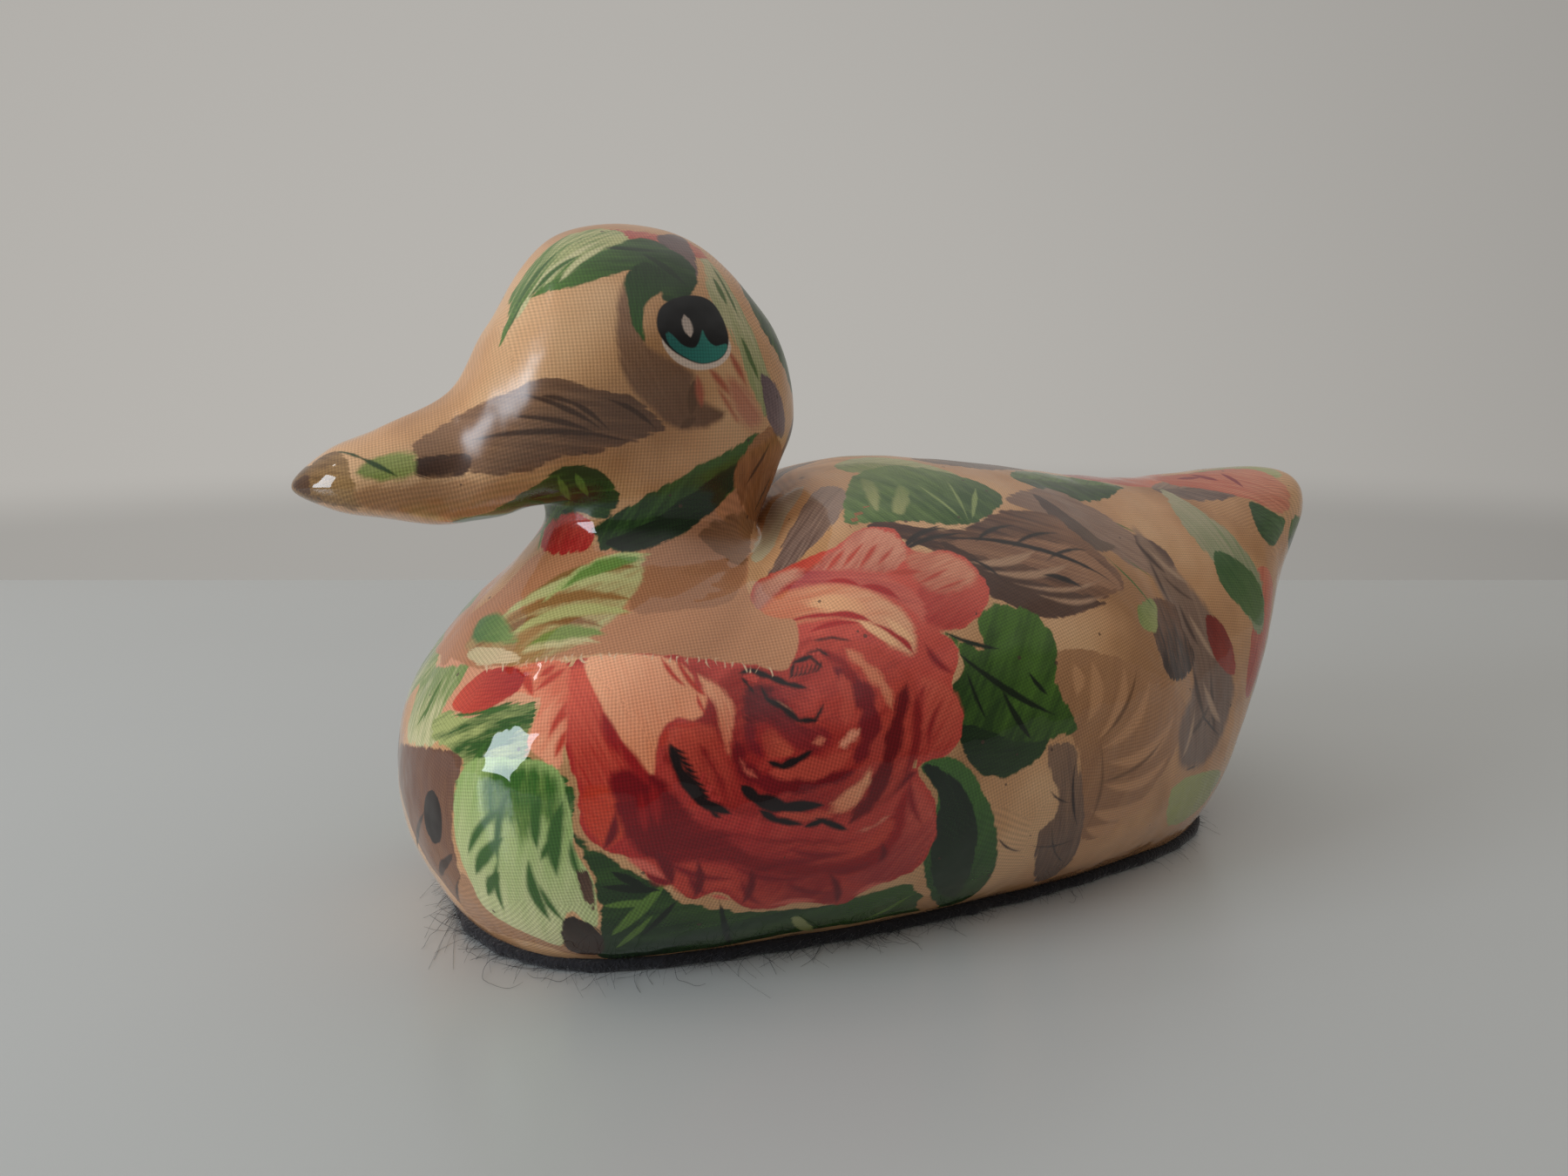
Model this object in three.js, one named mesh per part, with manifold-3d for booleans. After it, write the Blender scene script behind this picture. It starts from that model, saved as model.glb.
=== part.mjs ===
// Duck figurine: one carved solid on a thin felt pad. Millimetres, +Z up.
// The bill points to -Y, the duck's left side is +X, and the origin is the centre of the pad's underside.
import * as THREE from 'three';
import * as BufferGeometryUtils from 'three/addons/utils/BufferGeometryUtils.js';
import Module from 'manifold-3d';

// Driving dimensions
const duck_length = 223.5;     // tail tip to bill tip
const hull_width = 108;        // across the widest part of the hull
const crown_height = 124.4;    // table to the top of the head
const pad_thickness = 2;       // felt under the flat base
const pad_rim_width = 1.2;     // felt beyond the edge of the base
const rings_per_station = 5;   // loft rings from one carving station to the next
const points_around = 38;      // points round one ring
const edge_fineness = 4;       // times more rings and points where the pad's edge is worked out

// The carving, drawn for a duck of these sizes and scaled to the driving dimensions
const drawn = { length: 223.5, width: 108, height: 124.4, base_centre: -15 };

// Each station is a cut across the duck from its belly line to its back line:
// belly forward, belly up, back forward, back up, half width,
// share of the cut where it is widest, fullness on the belly side, fullness on the back side
const tail = [
  [-135, 67.5, -135, 67.5, 0, 0.5, 2, 2],
  [-131, 59.5, -130.5, 74, 8, 0.5, 2, 2],
  [-119, 41, -114, 75.5, 17, 0.5, 2.1, 2],
];
const hull = [
  [-104, 14, -91, 74, 29, 0.45, 2.2, 2],
  [-86, -8, -66, 76, 39, 0.45, 2.3, 2],
  [-54, -8, -42, 79.5, 51, 0.45, 2.3, 2],
  [-16, -8, -19, 81.5, 54, 0.45, 2.3, 2],
  [22, -8, -4, 79.5, 53, 0.47, 2.2, 2],
  [58, -5, 3, 75.5, 49, 0.47, 2, 2],
];
const breast = [
  [73.5, 14, 6, 72, 45, 0.45, 2, 2],
  [74.5, 36, 7, 70.5, 39, 0.43, 2, 2],
  [64, 53, 7.5, 70, 30, 0.47, 2, 2],
];
const neck = [
  [53, 64, 7.5, 71, 23, 0.5, 2, 2],
  [47.5, 71, 6, 74, 20, 0.5, 2, 2],
  [47, 75, 3, 81, 20, 0.5, 2, 2],
];
const head = [
  [48, 76, 0, 92, 22, 0.53, 2, 2],
  [50, 75.5, 5, 108, 24, 0.55, 2, 2],
  [52, 75, 22, 123, 25, 0.55, 2, 2],
  [55, 74, 43, 122, 22, 0.5, 2, 2],
  [59.5, 73.5, 55, 107, 17, 0.45, 2, 2],
];
const bill = [
  [66, 73, 62, 96, 13, 0.45, 2, 2],
  [74, 74.5, 74, 90, 12, 0.45, 2, 2],
  [82, 76.5, 83, 86, 9, 0.45, 2, 2],
  [88.5, 80.5, 88.5, 80.5, 0, 0.45, 2, 2],
];
const stations = [...tail, ...hull, ...breast, ...neck, ...head, ...bill];

// The row beyond a rounded tip: the next cut seen in a mirror, so the loft turns over there
function mirrored(row) {
  return [row[2], row[3], row[0], row[1], -row[4], row[5], row[6], row[7]];
}

// One value of a smooth curve from b to c, with a and d as the neighbours
function smooth_between(a, b, c, d, t) {
  const slope = (c - a) * t;
  const bend = (2 * a - 5 * b + 4 * c - d) * t * t;
  const turn = (3 * b - a - 3 * c + d) * t * t * t;
  return 0.5 * (2 * b + slope + bend + turn);
}

// All the cuts of the loft, from the tail tip to the bill tip
function loft_cuts(per_station) {
  const last = stations.length - 1;
  const rows = [mirrored(stations[1]), ...stations, mirrored(stations[last - 1])];
  const cuts = [];
  for (let i = 0; i < last; i += 1) {
    for (let k = 0; k < per_station; k += 1) {
      const t = k / per_station;
      cuts.push(stations[i].map((_, j) => (
        smooth_between(rows[i][j], rows[i + 1][j], rows[i + 2][j], rows[i + 3][j], t))));
    }
  }
  cuts.push(stations[last]);
  return cuts;
}

// A point of one cut at the given turn round it, in the part's own frame
function cut_point(cut, turn) {
  const [belly_x, belly_z, back_x, back_z, half, widest, below, above] = cut;
  const cos = Math.cos(turn);
  const sin = Math.sin(turn);
  const on_belly = cos > 0;
  const power = 2 / (on_belly ? below : above);
  const reach = Math.abs(cos) ** power;
  const share = on_belly ? widest * (1 - reach) : widest + (1 - widest) * reach;
  const side = half * Math.sign(sin) * Math.abs(sin) ** power;
  const forward = belly_x + (back_x - belly_x) * share - drawn.base_centre;
  const up = belly_z + (back_z - belly_z) * share;
  return new THREE.Vector3(
    side * hull_width / drawn.width,
    -forward * duck_length / drawn.length,
    up * crown_height / drawn.height,
  );
}

// The loft's inner rings, without the two tips
function loft_rings(cuts, around) {
  return cuts.slice(1, -1).map((cut) => (
    Array.from({ length: around }, (_, j) => cut_point(cut, 2 * Math.PI * j / around))));
}

// A closed mesh through the rings, ending in one point at each tip
function loft_geometry(cuts, rings) {
  const points = [cut_point(cuts[0], 0), ...rings.flat(), cut_point(cuts[cuts.length - 1], 0)];
  const index = [];
  const at = (ring, j) => 1 + ring * points_around + (j % points_around);
  const tip = points.length - 1;
  const end = rings.length - 1;
  for (let j = 0; j < points_around; j += 1) {
    index.push(0, at(0, j + 1), at(0, j));
    index.push(tip, at(end, j), at(end, j + 1));
    for (let i = 0; i < end; i += 1) {
      index.push(at(i, j), at(i + 1, j + 1), at(i + 1, j));
      index.push(at(i, j), at(i, j + 1), at(i + 1, j + 1));
    }
  }
  const geometry = new THREE.BufferGeometry().setFromPoints(points);
  geometry.setIndex(index);
  return geometry;
}

// Where fine rings cross the top of the pad, once round the base from the tail's left
function base_outline() {
  const left = [];
  const right = [];
  const around = points_around * edge_fineness;
  for (const ring of loft_rings(loft_cuts(rings_per_station * edge_fineness), around)) {
    for (let j = 0; j < around; j += 1) {
      const a = ring[j];
      const b = ring[(j + 1) % around];
      if ((a.z < pad_thickness) !== (b.z < pad_thickness)) {
        const point = a.clone().lerp(b, (pad_thickness - a.z) / (b.z - a.z));
        (point.x > 0 ? left : right).push(new THREE.Vector2(point.x, point.y));
      }
    }
  }
  return [...left, ...right.reverse()];
}

// The outline moved outward by the margin, evened out along a closed curve
function padded_outline(outline) {
  const curve = new THREE.CatmullRomCurve3(
    outline.map((p) => new THREE.Vector3(p.x, p.y, 0)), true, 'centripetal');
  const count = 96;
  return Array.from({ length: count }, (_, i) => {
    const p = curve.getPointAt(i / count);
    const along = curve.getTangentAt(i / count);
    return new THREE.Vector2(p.x - along.y * pad_rim_width, p.y + along.x * pad_rim_width);
  });
}

const wasm = await Module();
wasm.setup();

// A manifold solid from a closed geometry
function to_solid(geometry) {
  const bare = geometry.clone();
  bare.deleteAttribute('normal');
  bare.deleteAttribute('uv');
  const merged = BufferGeometryUtils.mergeVertices(bare, 1e-4);
  return new wasm.Manifold(new wasm.Mesh({
    numProp: 3,
    vertProperties: new Float32Array(merged.attributes.position.array),
    triVerts: new Uint32Array(merged.index.array),
  }));
}

// A geometry with face normals from a manifold solid
function to_geometry(solid) {
  const mesh = solid.getMesh();
  const geometry = new THREE.BufferGeometry();
  geometry.setAttribute('position', new THREE.BufferAttribute(mesh.vertProperties, 3));
  geometry.setIndex(new THREE.BufferAttribute(mesh.triVerts, 1));
  geometry.computeVertexNormals();
  return geometry;
}

// The carved duck, sawn flat where the pad begins
function duck_body() {
  const cuts = loft_cuts(rings_per_station);
  const loft = loft_geometry(cuts, loft_rings(cuts, points_around));
  const saw_depth = 60;
  const saw = new THREE.BoxGeometry(2 * hull_width, 2 * duck_length, saw_depth);
  saw.translate(0, 0, pad_thickness - saw_depth / 2);
  const geometry = to_geometry(to_solid(loft).subtract(to_solid(saw)));
  const material = new THREE.MeshStandardMaterial({ color: 0xcdaa7d, roughness: 0.2, metalness: 0 });
  const mesh = new THREE.Mesh(geometry, material);
  mesh.name = 'duck_body';
  return mesh;
}

// The felt pad, cut a little larger than the base
function felt_pad() {
  const shape = new THREE.Shape(padded_outline(base_outline()));
  const geometry = new THREE.ExtrudeGeometry(shape, { depth: pad_thickness, bevelEnabled: false });
  const material = new THREE.MeshStandardMaterial({ color: 0x1b1a1c, roughness: 0.95, metalness: 0 });
  const mesh = new THREE.Mesh(geometry, material);
  mesh.name = 'felt_pad';
  return mesh;
}

const group = new THREE.Group();
group.name = 'duck_figurine';
group.add(duck_body(), felt_pad());

export default group;
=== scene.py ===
"""Duck figurine covered in printed cotton under clear lacquer, on a black felt pad.

Laid out as an add-on and run as a script. Metres, +Z up, bill towards -Y, the duck's left side +X.
"""
import functools
import math

import bmesh
import bpy
import numpy as np
from bpy.props import FloatProperty, FloatVectorProperty, IntProperty, PointerProperty
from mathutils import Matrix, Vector
from mathutils.bvhtree import BVHTree


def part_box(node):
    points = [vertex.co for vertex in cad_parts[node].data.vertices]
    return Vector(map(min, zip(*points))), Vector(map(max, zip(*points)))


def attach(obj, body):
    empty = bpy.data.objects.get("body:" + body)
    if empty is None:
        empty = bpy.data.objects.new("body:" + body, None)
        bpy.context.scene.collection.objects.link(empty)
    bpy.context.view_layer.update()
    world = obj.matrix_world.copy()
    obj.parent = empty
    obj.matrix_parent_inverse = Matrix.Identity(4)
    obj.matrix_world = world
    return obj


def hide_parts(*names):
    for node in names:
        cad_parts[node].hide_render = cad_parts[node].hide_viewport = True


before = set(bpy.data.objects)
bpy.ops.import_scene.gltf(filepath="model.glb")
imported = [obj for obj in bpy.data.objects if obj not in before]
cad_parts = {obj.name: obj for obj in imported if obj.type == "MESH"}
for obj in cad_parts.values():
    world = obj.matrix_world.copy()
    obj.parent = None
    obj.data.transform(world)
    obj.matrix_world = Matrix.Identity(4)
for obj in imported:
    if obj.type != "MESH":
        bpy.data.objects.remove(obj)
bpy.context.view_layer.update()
BODY_LOW, BODY_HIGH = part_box("duck_body")
PAD_LOW, PAD_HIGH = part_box("felt_pad")

bl_info = {
    "name": "Printed duck figurine",
    "version": (1, 0, 0),
    "blender": (4, 5, 0),
    "location": "3D View > Sidebar > Duck",
    "description": "Builds a lacquered duck covered in printed cotton, its felt pad and a plain stage",
    "category": "Add Mesh",
}

MM = 0.001

# The photograph: its size, and the camera that the table edge and the duck's base were matched with
PHOTO_WIDTH = 1800
PHOTO_HEIGHT = 1350
SENSOR_WIDTH = 36.0
LENS = 25.0
CAMERA_PLACE = Vector((197.0, -98.6, 103.0)) * MM
CAMERA_AIM = Vector((-0.8990, 0.3816, -0.2149)).normalized()

# The carving, drawn in millimetres as in the CAD model and scaled to the CAD box
DRAWN_LENGTH = 223.5
DRAWN_WIDTH = 108.0
DRAWN_CROWN = 124.4
BASE_CENTRE = -15.0
PAD_TOP = PAD_HIGH[2] / MM

# belly forward, belly up, back forward, back up, half width, where widest, belly fullness, back fullness
TAIL = [
    (-135, 67.5, -135, 67.5, 0, 0.5, 2, 2),
    (-131, 59.5, -130.5, 74, 8, 0.5, 2, 2),
    (-119, 41, -114, 75.5, 17, 0.5, 2.1, 2),
]
HULL = [
    (-104, 14, -91, 74, 29, 0.45, 2.2, 2),
    (-86, -8, -66, 76, 39, 0.45, 2.3, 2),
    (-54, -8, -42, 79.5, 51, 0.45, 2.3, 2),
    (-16, -8, -19, 81.5, 54, 0.45, 2.3, 2),
    (22, -8, -4, 79.5, 53, 0.47, 2.2, 2),
    (58, -5, 3, 75.5, 49, 0.47, 2, 2),
]
BREAST = [
    (73.5, 14, 6, 72, 45, 0.45, 2, 2),
    (74.5, 36, 7, 70.5, 39, 0.43, 2, 2),
    (64, 53, 7.5, 70, 30, 0.47, 2, 2),
]
NECK = [
    (53, 64, 7.5, 71, 23, 0.5, 2, 2),
    (47.5, 71, 6, 74, 20, 0.5, 2, 2),
    (47, 75, 3, 81, 20, 0.5, 2, 2),
]
HEAD = [
    (48, 76, 0, 92, 22, 0.53, 2, 2),
    (50, 75.5, 5, 108, 24, 0.55, 2, 2),
    (52, 75, 22, 123, 25, 0.55, 2, 2),
    (55, 74, 43, 122, 22, 0.5, 2, 2),
    (59.5, 73.5, 55, 107, 17, 0.45, 2, 2),
]
BILL = [
    (66, 73, 62, 96, 13, 0.45, 2, 2),
    (74, 74.5, 74, 90, 12, 0.45, 2, 2),
    (82, 76.5, 83, 86, 9, 0.45, 2, 2),
    (88.5, 80.5, 88.5, 80.5, 0, 0.45, 2, 2),
]
STATIONS = np.array(TAIL + HULL + BREAST + NECK + HEAD + BILL, float)

# Colours of the print and paint, sRGB
TAN = 0xCFA97B
TAN_LIGHT = 0xDDBE92
TAN_DARK = 0xB08A5E
LEAF_GREEN = 0x4E7A2C
LEAF_LIGHT = 0xA9BE78
LEAF_PALE = 0xC9D3A2
BROWN_DARK = 0x4B3B30
GREY_PALE = 0xB9AE9C
EYE_WHITE = 0xD9D2C4
EYE_TEAL = 0x1F6E68
EYE_BLACK = 0x0D0C0D
EYE_GLINT = 0xB8B3AB

# The most layers of print over one face, and three distances from an outline in mm: far outside it, so far
# inside it that nothing below shows, and as far out as its ragged edge may reach
LAYERS = 8
OUTSIDE = -10.0
COVERED = 1.5
FRINGE = -0.8

# Share of its named width that a curved line keeps
CURL_SHARE = 0.66

# The pixel in the middle of the duck, towards which a pixel just off it is moved
MIDDLE_PIXEL = Vector((880, 780))

# The print is moved this far along the duck on its unseen side, so that the sides aren't quite alike
SLIDE = 5 * MM

# The table: from the camera's foot to its back and front edges, half its width, and its thickness
TABLE_BACK = 0.485
TABLE_FRONT = 1.6
TABLE_HALF_WIDTH = 2.2
TABLE_THICKNESS = 0.03

# The felt: points round the pad, and points where fibres may start
PAD_POINTS = 420
FIBRE_STARTS = 720


def to_linear(hex_colour):
    """Linear red, green and blue of an sRGB hex value."""
    parts = [(hex_colour >> shift & 255) / 255 for shift in (16, 8, 0)]
    return tuple(p / 12.92 if p <= 0.04045 else ((p + 0.055) / 1.055) ** 2.4 for p in parts)


def mirrored(row):
    """The cut beyond a rounded tip: the next one seen in a mirror, so the loft turns over there."""
    return np.array([row[2], row[3], row[0], row[1], -row[4], row[5], row[6], row[7]])


def between(a, b, c, d, t):
    """The point at share t from b to c on the smooth curve through a, b, c and d."""
    slope = (c - a) * t
    bend = (2 * a - 5 * b + 4 * c - d) * t * t
    turn = (3 * b - a - 3 * c + d) * t**3
    return 0.5 * (2 * b + slope + bend + turn)


def loft_cuts(step):
    """Cuts from tail tip to bill tip, about step millimetres apart along the longer edge."""
    rows = np.vstack([mirrored(STATIONS[1]), STATIONS, mirrored(STATIONS[-2])])
    cuts = []
    for a, b, c, d in zip(rows, rows[1:], rows[2:], rows[3:]):
        gap = max(np.hypot(*(c - b)[0:2]), np.hypot(*(c - b)[2:4]), abs(c[4] - b[4]))
        count = max(3, math.ceil(gap / step))
        cuts.extend(between(a, b, c, d, t) for t in np.arange(count) / count)
    cuts.append(STATIONS[-1])
    return np.array(cuts)


def cut_points(cuts, around):
    """Points round every cut, as [cut, point, xyz] in metres in the row frame."""
    turn = np.linspace(0, 2 * np.pi, around, endpoint=False)
    cos = np.cos(turn)[None]
    sin = np.sin(turn)[None]
    belly_x, belly_z, back_x, back_z, half, widest, below, above = (c[:, None] for c in cuts.T)
    power = np.where(cos > 0, 2 / below, 2 / above)
    reach = np.abs(cos) ** power
    share = np.where(cos > 0, widest * (1 - reach), widest + (1 - widest) * reach)
    side = half * np.sign(sin) * np.abs(sin) ** power
    forward = belly_x + (back_x - belly_x) * share - BASE_CENTRE
    up = belly_z + (back_z - belly_z) * share
    width = (BODY_HIGH[0] - BODY_LOW[0]) / DRAWN_WIDTH
    length = (BODY_HIGH[1] - BODY_LOW[1]) / DRAWN_LENGTH
    height = BODY_HIGH[2] / DRAWN_CROWN
    return np.stack([side * width, -forward * length, up * height], axis=-1)


def ripple(points, wave, seed, count=7):
    """Smooth unevenness from -1 to 1 with about that wavelength, at points in metres."""
    rng = np.random.default_rng(seed)
    total = np.zeros(len(points))
    for _ in range(count):
        way = rng.normal(size=3)
        way /= np.linalg.norm(way) * wave * rng.uniform(0.7, 1.4)
        total += np.sin(points @ way * 2 * np.pi + rng.uniform(0, 2 * np.pi))
    return total / count**0.5 / 1.5


def new_mesh_object(name, vertices, faces):
    """A smooth-shaded mesh object in the scene."""
    mesh = bpy.data.meshes.new(name)
    mesh.from_pydata([tuple(v) for v in vertices], [], [tuple(f) for f in faces])
    mesh.validate()
    mesh.shade_smooth()
    piece = bpy.data.objects.new(name, mesh)
    bpy.context.scene.collection.objects.link(piece)
    return piece


def vertex_arrays(piece):
    """Places and normals of a piece's vertices."""
    count = len(piece.data.vertices)
    places = np.empty(count * 3)
    normals = np.empty(count * 3)
    piece.data.vertices.foreach_get("co", places)
    piece.data.vertices.foreach_get("normal", normals)
    return places.reshape(-1, 3), normals.reshape(-1, 3)


def corner_arrays(mesh):
    """The vertex of every face corner, then the first corner and the number of corners of every face."""
    corner_vertex = np.empty(len(mesh.loops), int)
    mesh.loops.foreach_get("vertex_index", corner_vertex)
    first = np.empty(len(mesh.polygons), int)
    sizes = np.empty(len(mesh.polygons), int)
    mesh.polygons.foreach_get("loop_start", first)
    mesh.polygons.foreach_get("loop_total", sizes)
    return corner_vertex, first, sizes


def carved_duck(step, around, hollow_depth):
    """The duck's skin, a closed fine mesh, slightly uneven as pasted cloth is, and sawn flat at the pad."""
    cuts = loft_cuts(step)
    points = cut_points(cuts, around)
    rings = points[1:-1]
    vertices = np.vstack([points[0, :1], rings.reshape(-1, 3), points[-1, :1]])
    ring, column = np.meshgrid(np.arange(len(rings) - 1), np.arange(around), indexing="ij")
    here = 1 + ring * around + column
    beside = 1 + ring * around + (column + 1) % around
    quads = np.stack([here, beside, beside + around, here + around], -1).reshape(-1, 4).tolist()
    last = len(vertices) - 1
    start = last - around
    for j in range(around):
        k = (j + 1) % around
        quads.append([0, 1 + k, 1 + j])
        quads.append([last, start + j, start + k])
    piece = new_mesh_object("printed_duck", vertices, quads)
    places, normals = vertex_arrays(piece)
    lumps = 0.7 * ripple(places, 26 * MM, 3) + 0.3 * ripple(places, 9 * MM, 4)
    places += normals * lumps[:, None] * hollow_depth
    piece.data.vertices.foreach_set("co", places.ravel())
    work = bmesh.new()
    work.from_mesh(piece.data)
    everything = work.verts[:] + work.edges[:] + work.faces[:]
    level = (0, 0, PAD_TOP * MM)
    cut = bmesh.ops.bisect_plane(work, geom=everything, plane_co=level, plane_no=(0, 0, 1), clear_inner=True)
    rim = [e for e in cut["geom_cut"] if isinstance(e, bmesh.types.BMEdge)]
    bmesh.ops.triangle_fill(work, edges=rim, use_beauty=True)
    bmesh.ops.recalc_face_normals(work, faces=work.faces[:])
    work.to_mesh(piece.data)
    work.free()
    piece.data.shade_smooth()
    return piece


class Skin:
    """Finds places on the duck's skin."""

    def __init__(self, piece):
        self.tree = BVHTree.FromObject(piece, bpy.context.evaluated_depsgraph_get())
        self.right = CAMERA_AIM.cross(Vector((0, 0, 1))).normalized()
        self.up = self.right.cross(CAMERA_AIM)

    def seen(self, pixel):
        """The place on the skin that the photograph shows at a pixel, or the nearest inward of it."""
        focus = LENS / SENSOR_WIDTH * PHOTO_WIDTH
        pixel = Vector(pixel)
        for step in range(60):
            spot = pixel.lerp(MIDDLE_PIXEL, step / 60)
            across = (spot.x - PHOTO_WIDTH / 2) / focus
            down = (spot.y - PHOTO_HEIGHT / 2) / focus
            ray = CAMERA_AIM + self.right * across - self.up * down
            place, normal, _, _ = self.tree.ray_cast(CAMERA_PLACE, ray)
            if place is not None:
                return place, normal
        raise RuntimeError(f"no skin near pixel {tuple(pixel)}")

    def nearest(self, place):
        """The nearest place on the skin."""
        found, normal, _, _ = self.tree.find_nearest(place)
        return found, normal


def leaf_width(u):
    """Half width of a leaf as a share, from stalk to tip."""
    return np.sin(np.pi * np.clip(u, 0, 1) ** 0.72) ** 0.85


def petal_width(u):
    """Half width of a petal as a share: broad and blunt at its rim."""
    inside = np.clip(u, 0, 1)
    return np.clip(1 - (2 * inside - 1) ** 4, 0, 1) ** 0.5 * (0.62 + 0.38 * inside)


def stroke_width(u):
    """Half width of a brush stroke as a share: pointed at both ends."""
    return np.sin(np.pi * np.clip(u, 0, 1)) ** 0.7


def oval_width(u):
    """Half width of an oval as a share."""
    return np.clip(1 - (2 * np.clip(u, 0, 1) - 1) ** 2, 0, 1) ** 0.5


WIDTHS = {"leaf": leaf_width, "petal": petal_width, "stroke": stroke_width, "oval": oval_width}


def rounded(points, steps=4):
    """A smooth closed outline through a few points, each a row of coordinates."""
    before = np.roll(points, 1, axis=0)
    after = np.roll(points, -1, axis=0)
    beyond = np.roll(points, -2, axis=0)
    rows = [between(before, points, after, beyond, t) for t in np.arange(steps) / steps]
    return np.stack(rows, axis=1).reshape(-1, points.shape[1])


def inside_distance(points, outline):
    """Distance of flat points inside a closed outline, negative outside it."""
    start = outline
    run = np.roll(outline, -1, axis=0) - start
    rel = points[:, None] - start[None]
    share = np.clip((rel * run).sum(-1) / (run * run).sum(-1), 0, 1)
    gap = np.linalg.norm(rel - share[..., None] * run[None], axis=-1).min(axis=1)
    above = rel[..., 1] >= 0
    end_above = rel[..., 1] - run[None, :, 1] >= 0
    with np.errstate(divide="ignore", invalid="ignore"):
        crossing = start[None, :, 0] + rel[..., 1] / run[None, :, 1] * run[None, :, 0]
    crossed = ((above != end_above) & (crossing > points[:, None, 0])).sum(axis=1)
    return np.where(crossed % 2 == 1, gap, -gap)


class Motif:
    """One printed or painted shape on the skin, from its root to its tip, with a width or an outline."""

    def __init__(self, kind, root, tip, width, near, far, bend=0.0, teeth=0.0, streak=0.5, veins=0.0,
                 seed=0, soft=0.3, outline=None):
        self.kind = kind
        self.root, self.root_normal = root
        self.tip, self.tip_normal = tip
        self.width = width * MM
        self.near = near
        self.far = far
        self.bend = bend
        self.teeth = teeth
        self.streak = streak
        self.veins = veins
        self.seed = seed
        self.soft = soft
        self.outline = outline
        self.normal = (self.root_normal + self.tip_normal).normalized()
        self.axis = self.tip - self.root
        self.length = max(self.axis.length, 1e-5)
        self.axis = self.axis / self.length
        self.side = self.normal.cross(self.axis).normalized()
        self.reach = self.length + self.width
        if outline is not None:
            flat = self.flatten(outline)
            self.edge = rounded(flat)
            self.width = float(np.ptp(flat[:, 1]))
            self.reach = float(np.linalg.norm(flat, axis=1).max()) + 12 * MM

    def flatten(self, places):
        """Places along and across the motif, in metres from its root."""
        rel = places - np.array(self.root)
        return np.stack([rel @ np.array(self.axis), rel @ np.array(self.side)], axis=-1)

    def mirror_copy(self, slide):
        """The same shape on the duck's other side, moved along the duck by slide."""
        ends = []
        for place, normal in ((self.root, self.root_normal), (self.tip, self.tip_normal)):
            other_place = Vector((-place.x, place.y + slide, place.z))
            ends.append((other_place, Vector((-normal.x, normal.y, normal.z))))
        outline = None if self.outline is None else self.outline * (-1, 1, 1) + (0, slide, 0)
        return Motif(self.kind, *ends, self.width / MM, self.near, self.far, -self.bend, self.teeth,
                     self.streak, self.veins, self.seed + 500, self.soft, outline)

    def measure(self, places, normals):
        """Distance inside the outline in millimetres, place along, place across and tone, for each point."""
        along, across = self.flatten(places).T
        u = along / self.length
        half = self.width / 2
        if self.outline is None:
            across = across + self.bend * self.length * 4 * u * (1 - u)
            profile = WIDTHS[self.kind](u)
            if self.teeth:
                count = max(3.0, self.length / (3.2 * MM))
                notch = (u * count + 0.35 * np.abs(across) / half) % 1.0
                profile = profile * (1 - self.teeth * notch)
            end = np.maximum(-u, u - 1) * self.length
            distance = np.where(end > 0, -np.hypot(end, across), half * profile - np.abs(across))
            if self.kind in ("petal", "oval"):
                distance = np.where(end > 0, distance, np.minimum(distance, -end * 1.6))
        else:
            distance = inside_distance(np.stack([along, across], axis=-1), self.edge)
        depth = (places - np.array(self.root)) @ np.array(self.normal)
        hidden = (normals @ np.array(self.normal) < 0.1) | (np.abs(depth) > 0.5 * self.reach + 4 * MM)
        distance = np.where(hidden, OUTSIDE * MM, distance) / MM
        v = across / half
        if self.kind == "leaf":
            tone = 0.5 + 0.33 * np.sign(v) * np.clip(np.abs(v) * 6, 0, 1) + 0.2 * (u - 0.5)
        else:
            tone = np.clip(u, 0, 1) ** 1.2
        return np.stack([np.clip(distance, OUTSIDE, 40), u, v, tone], axis=-1)


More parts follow.
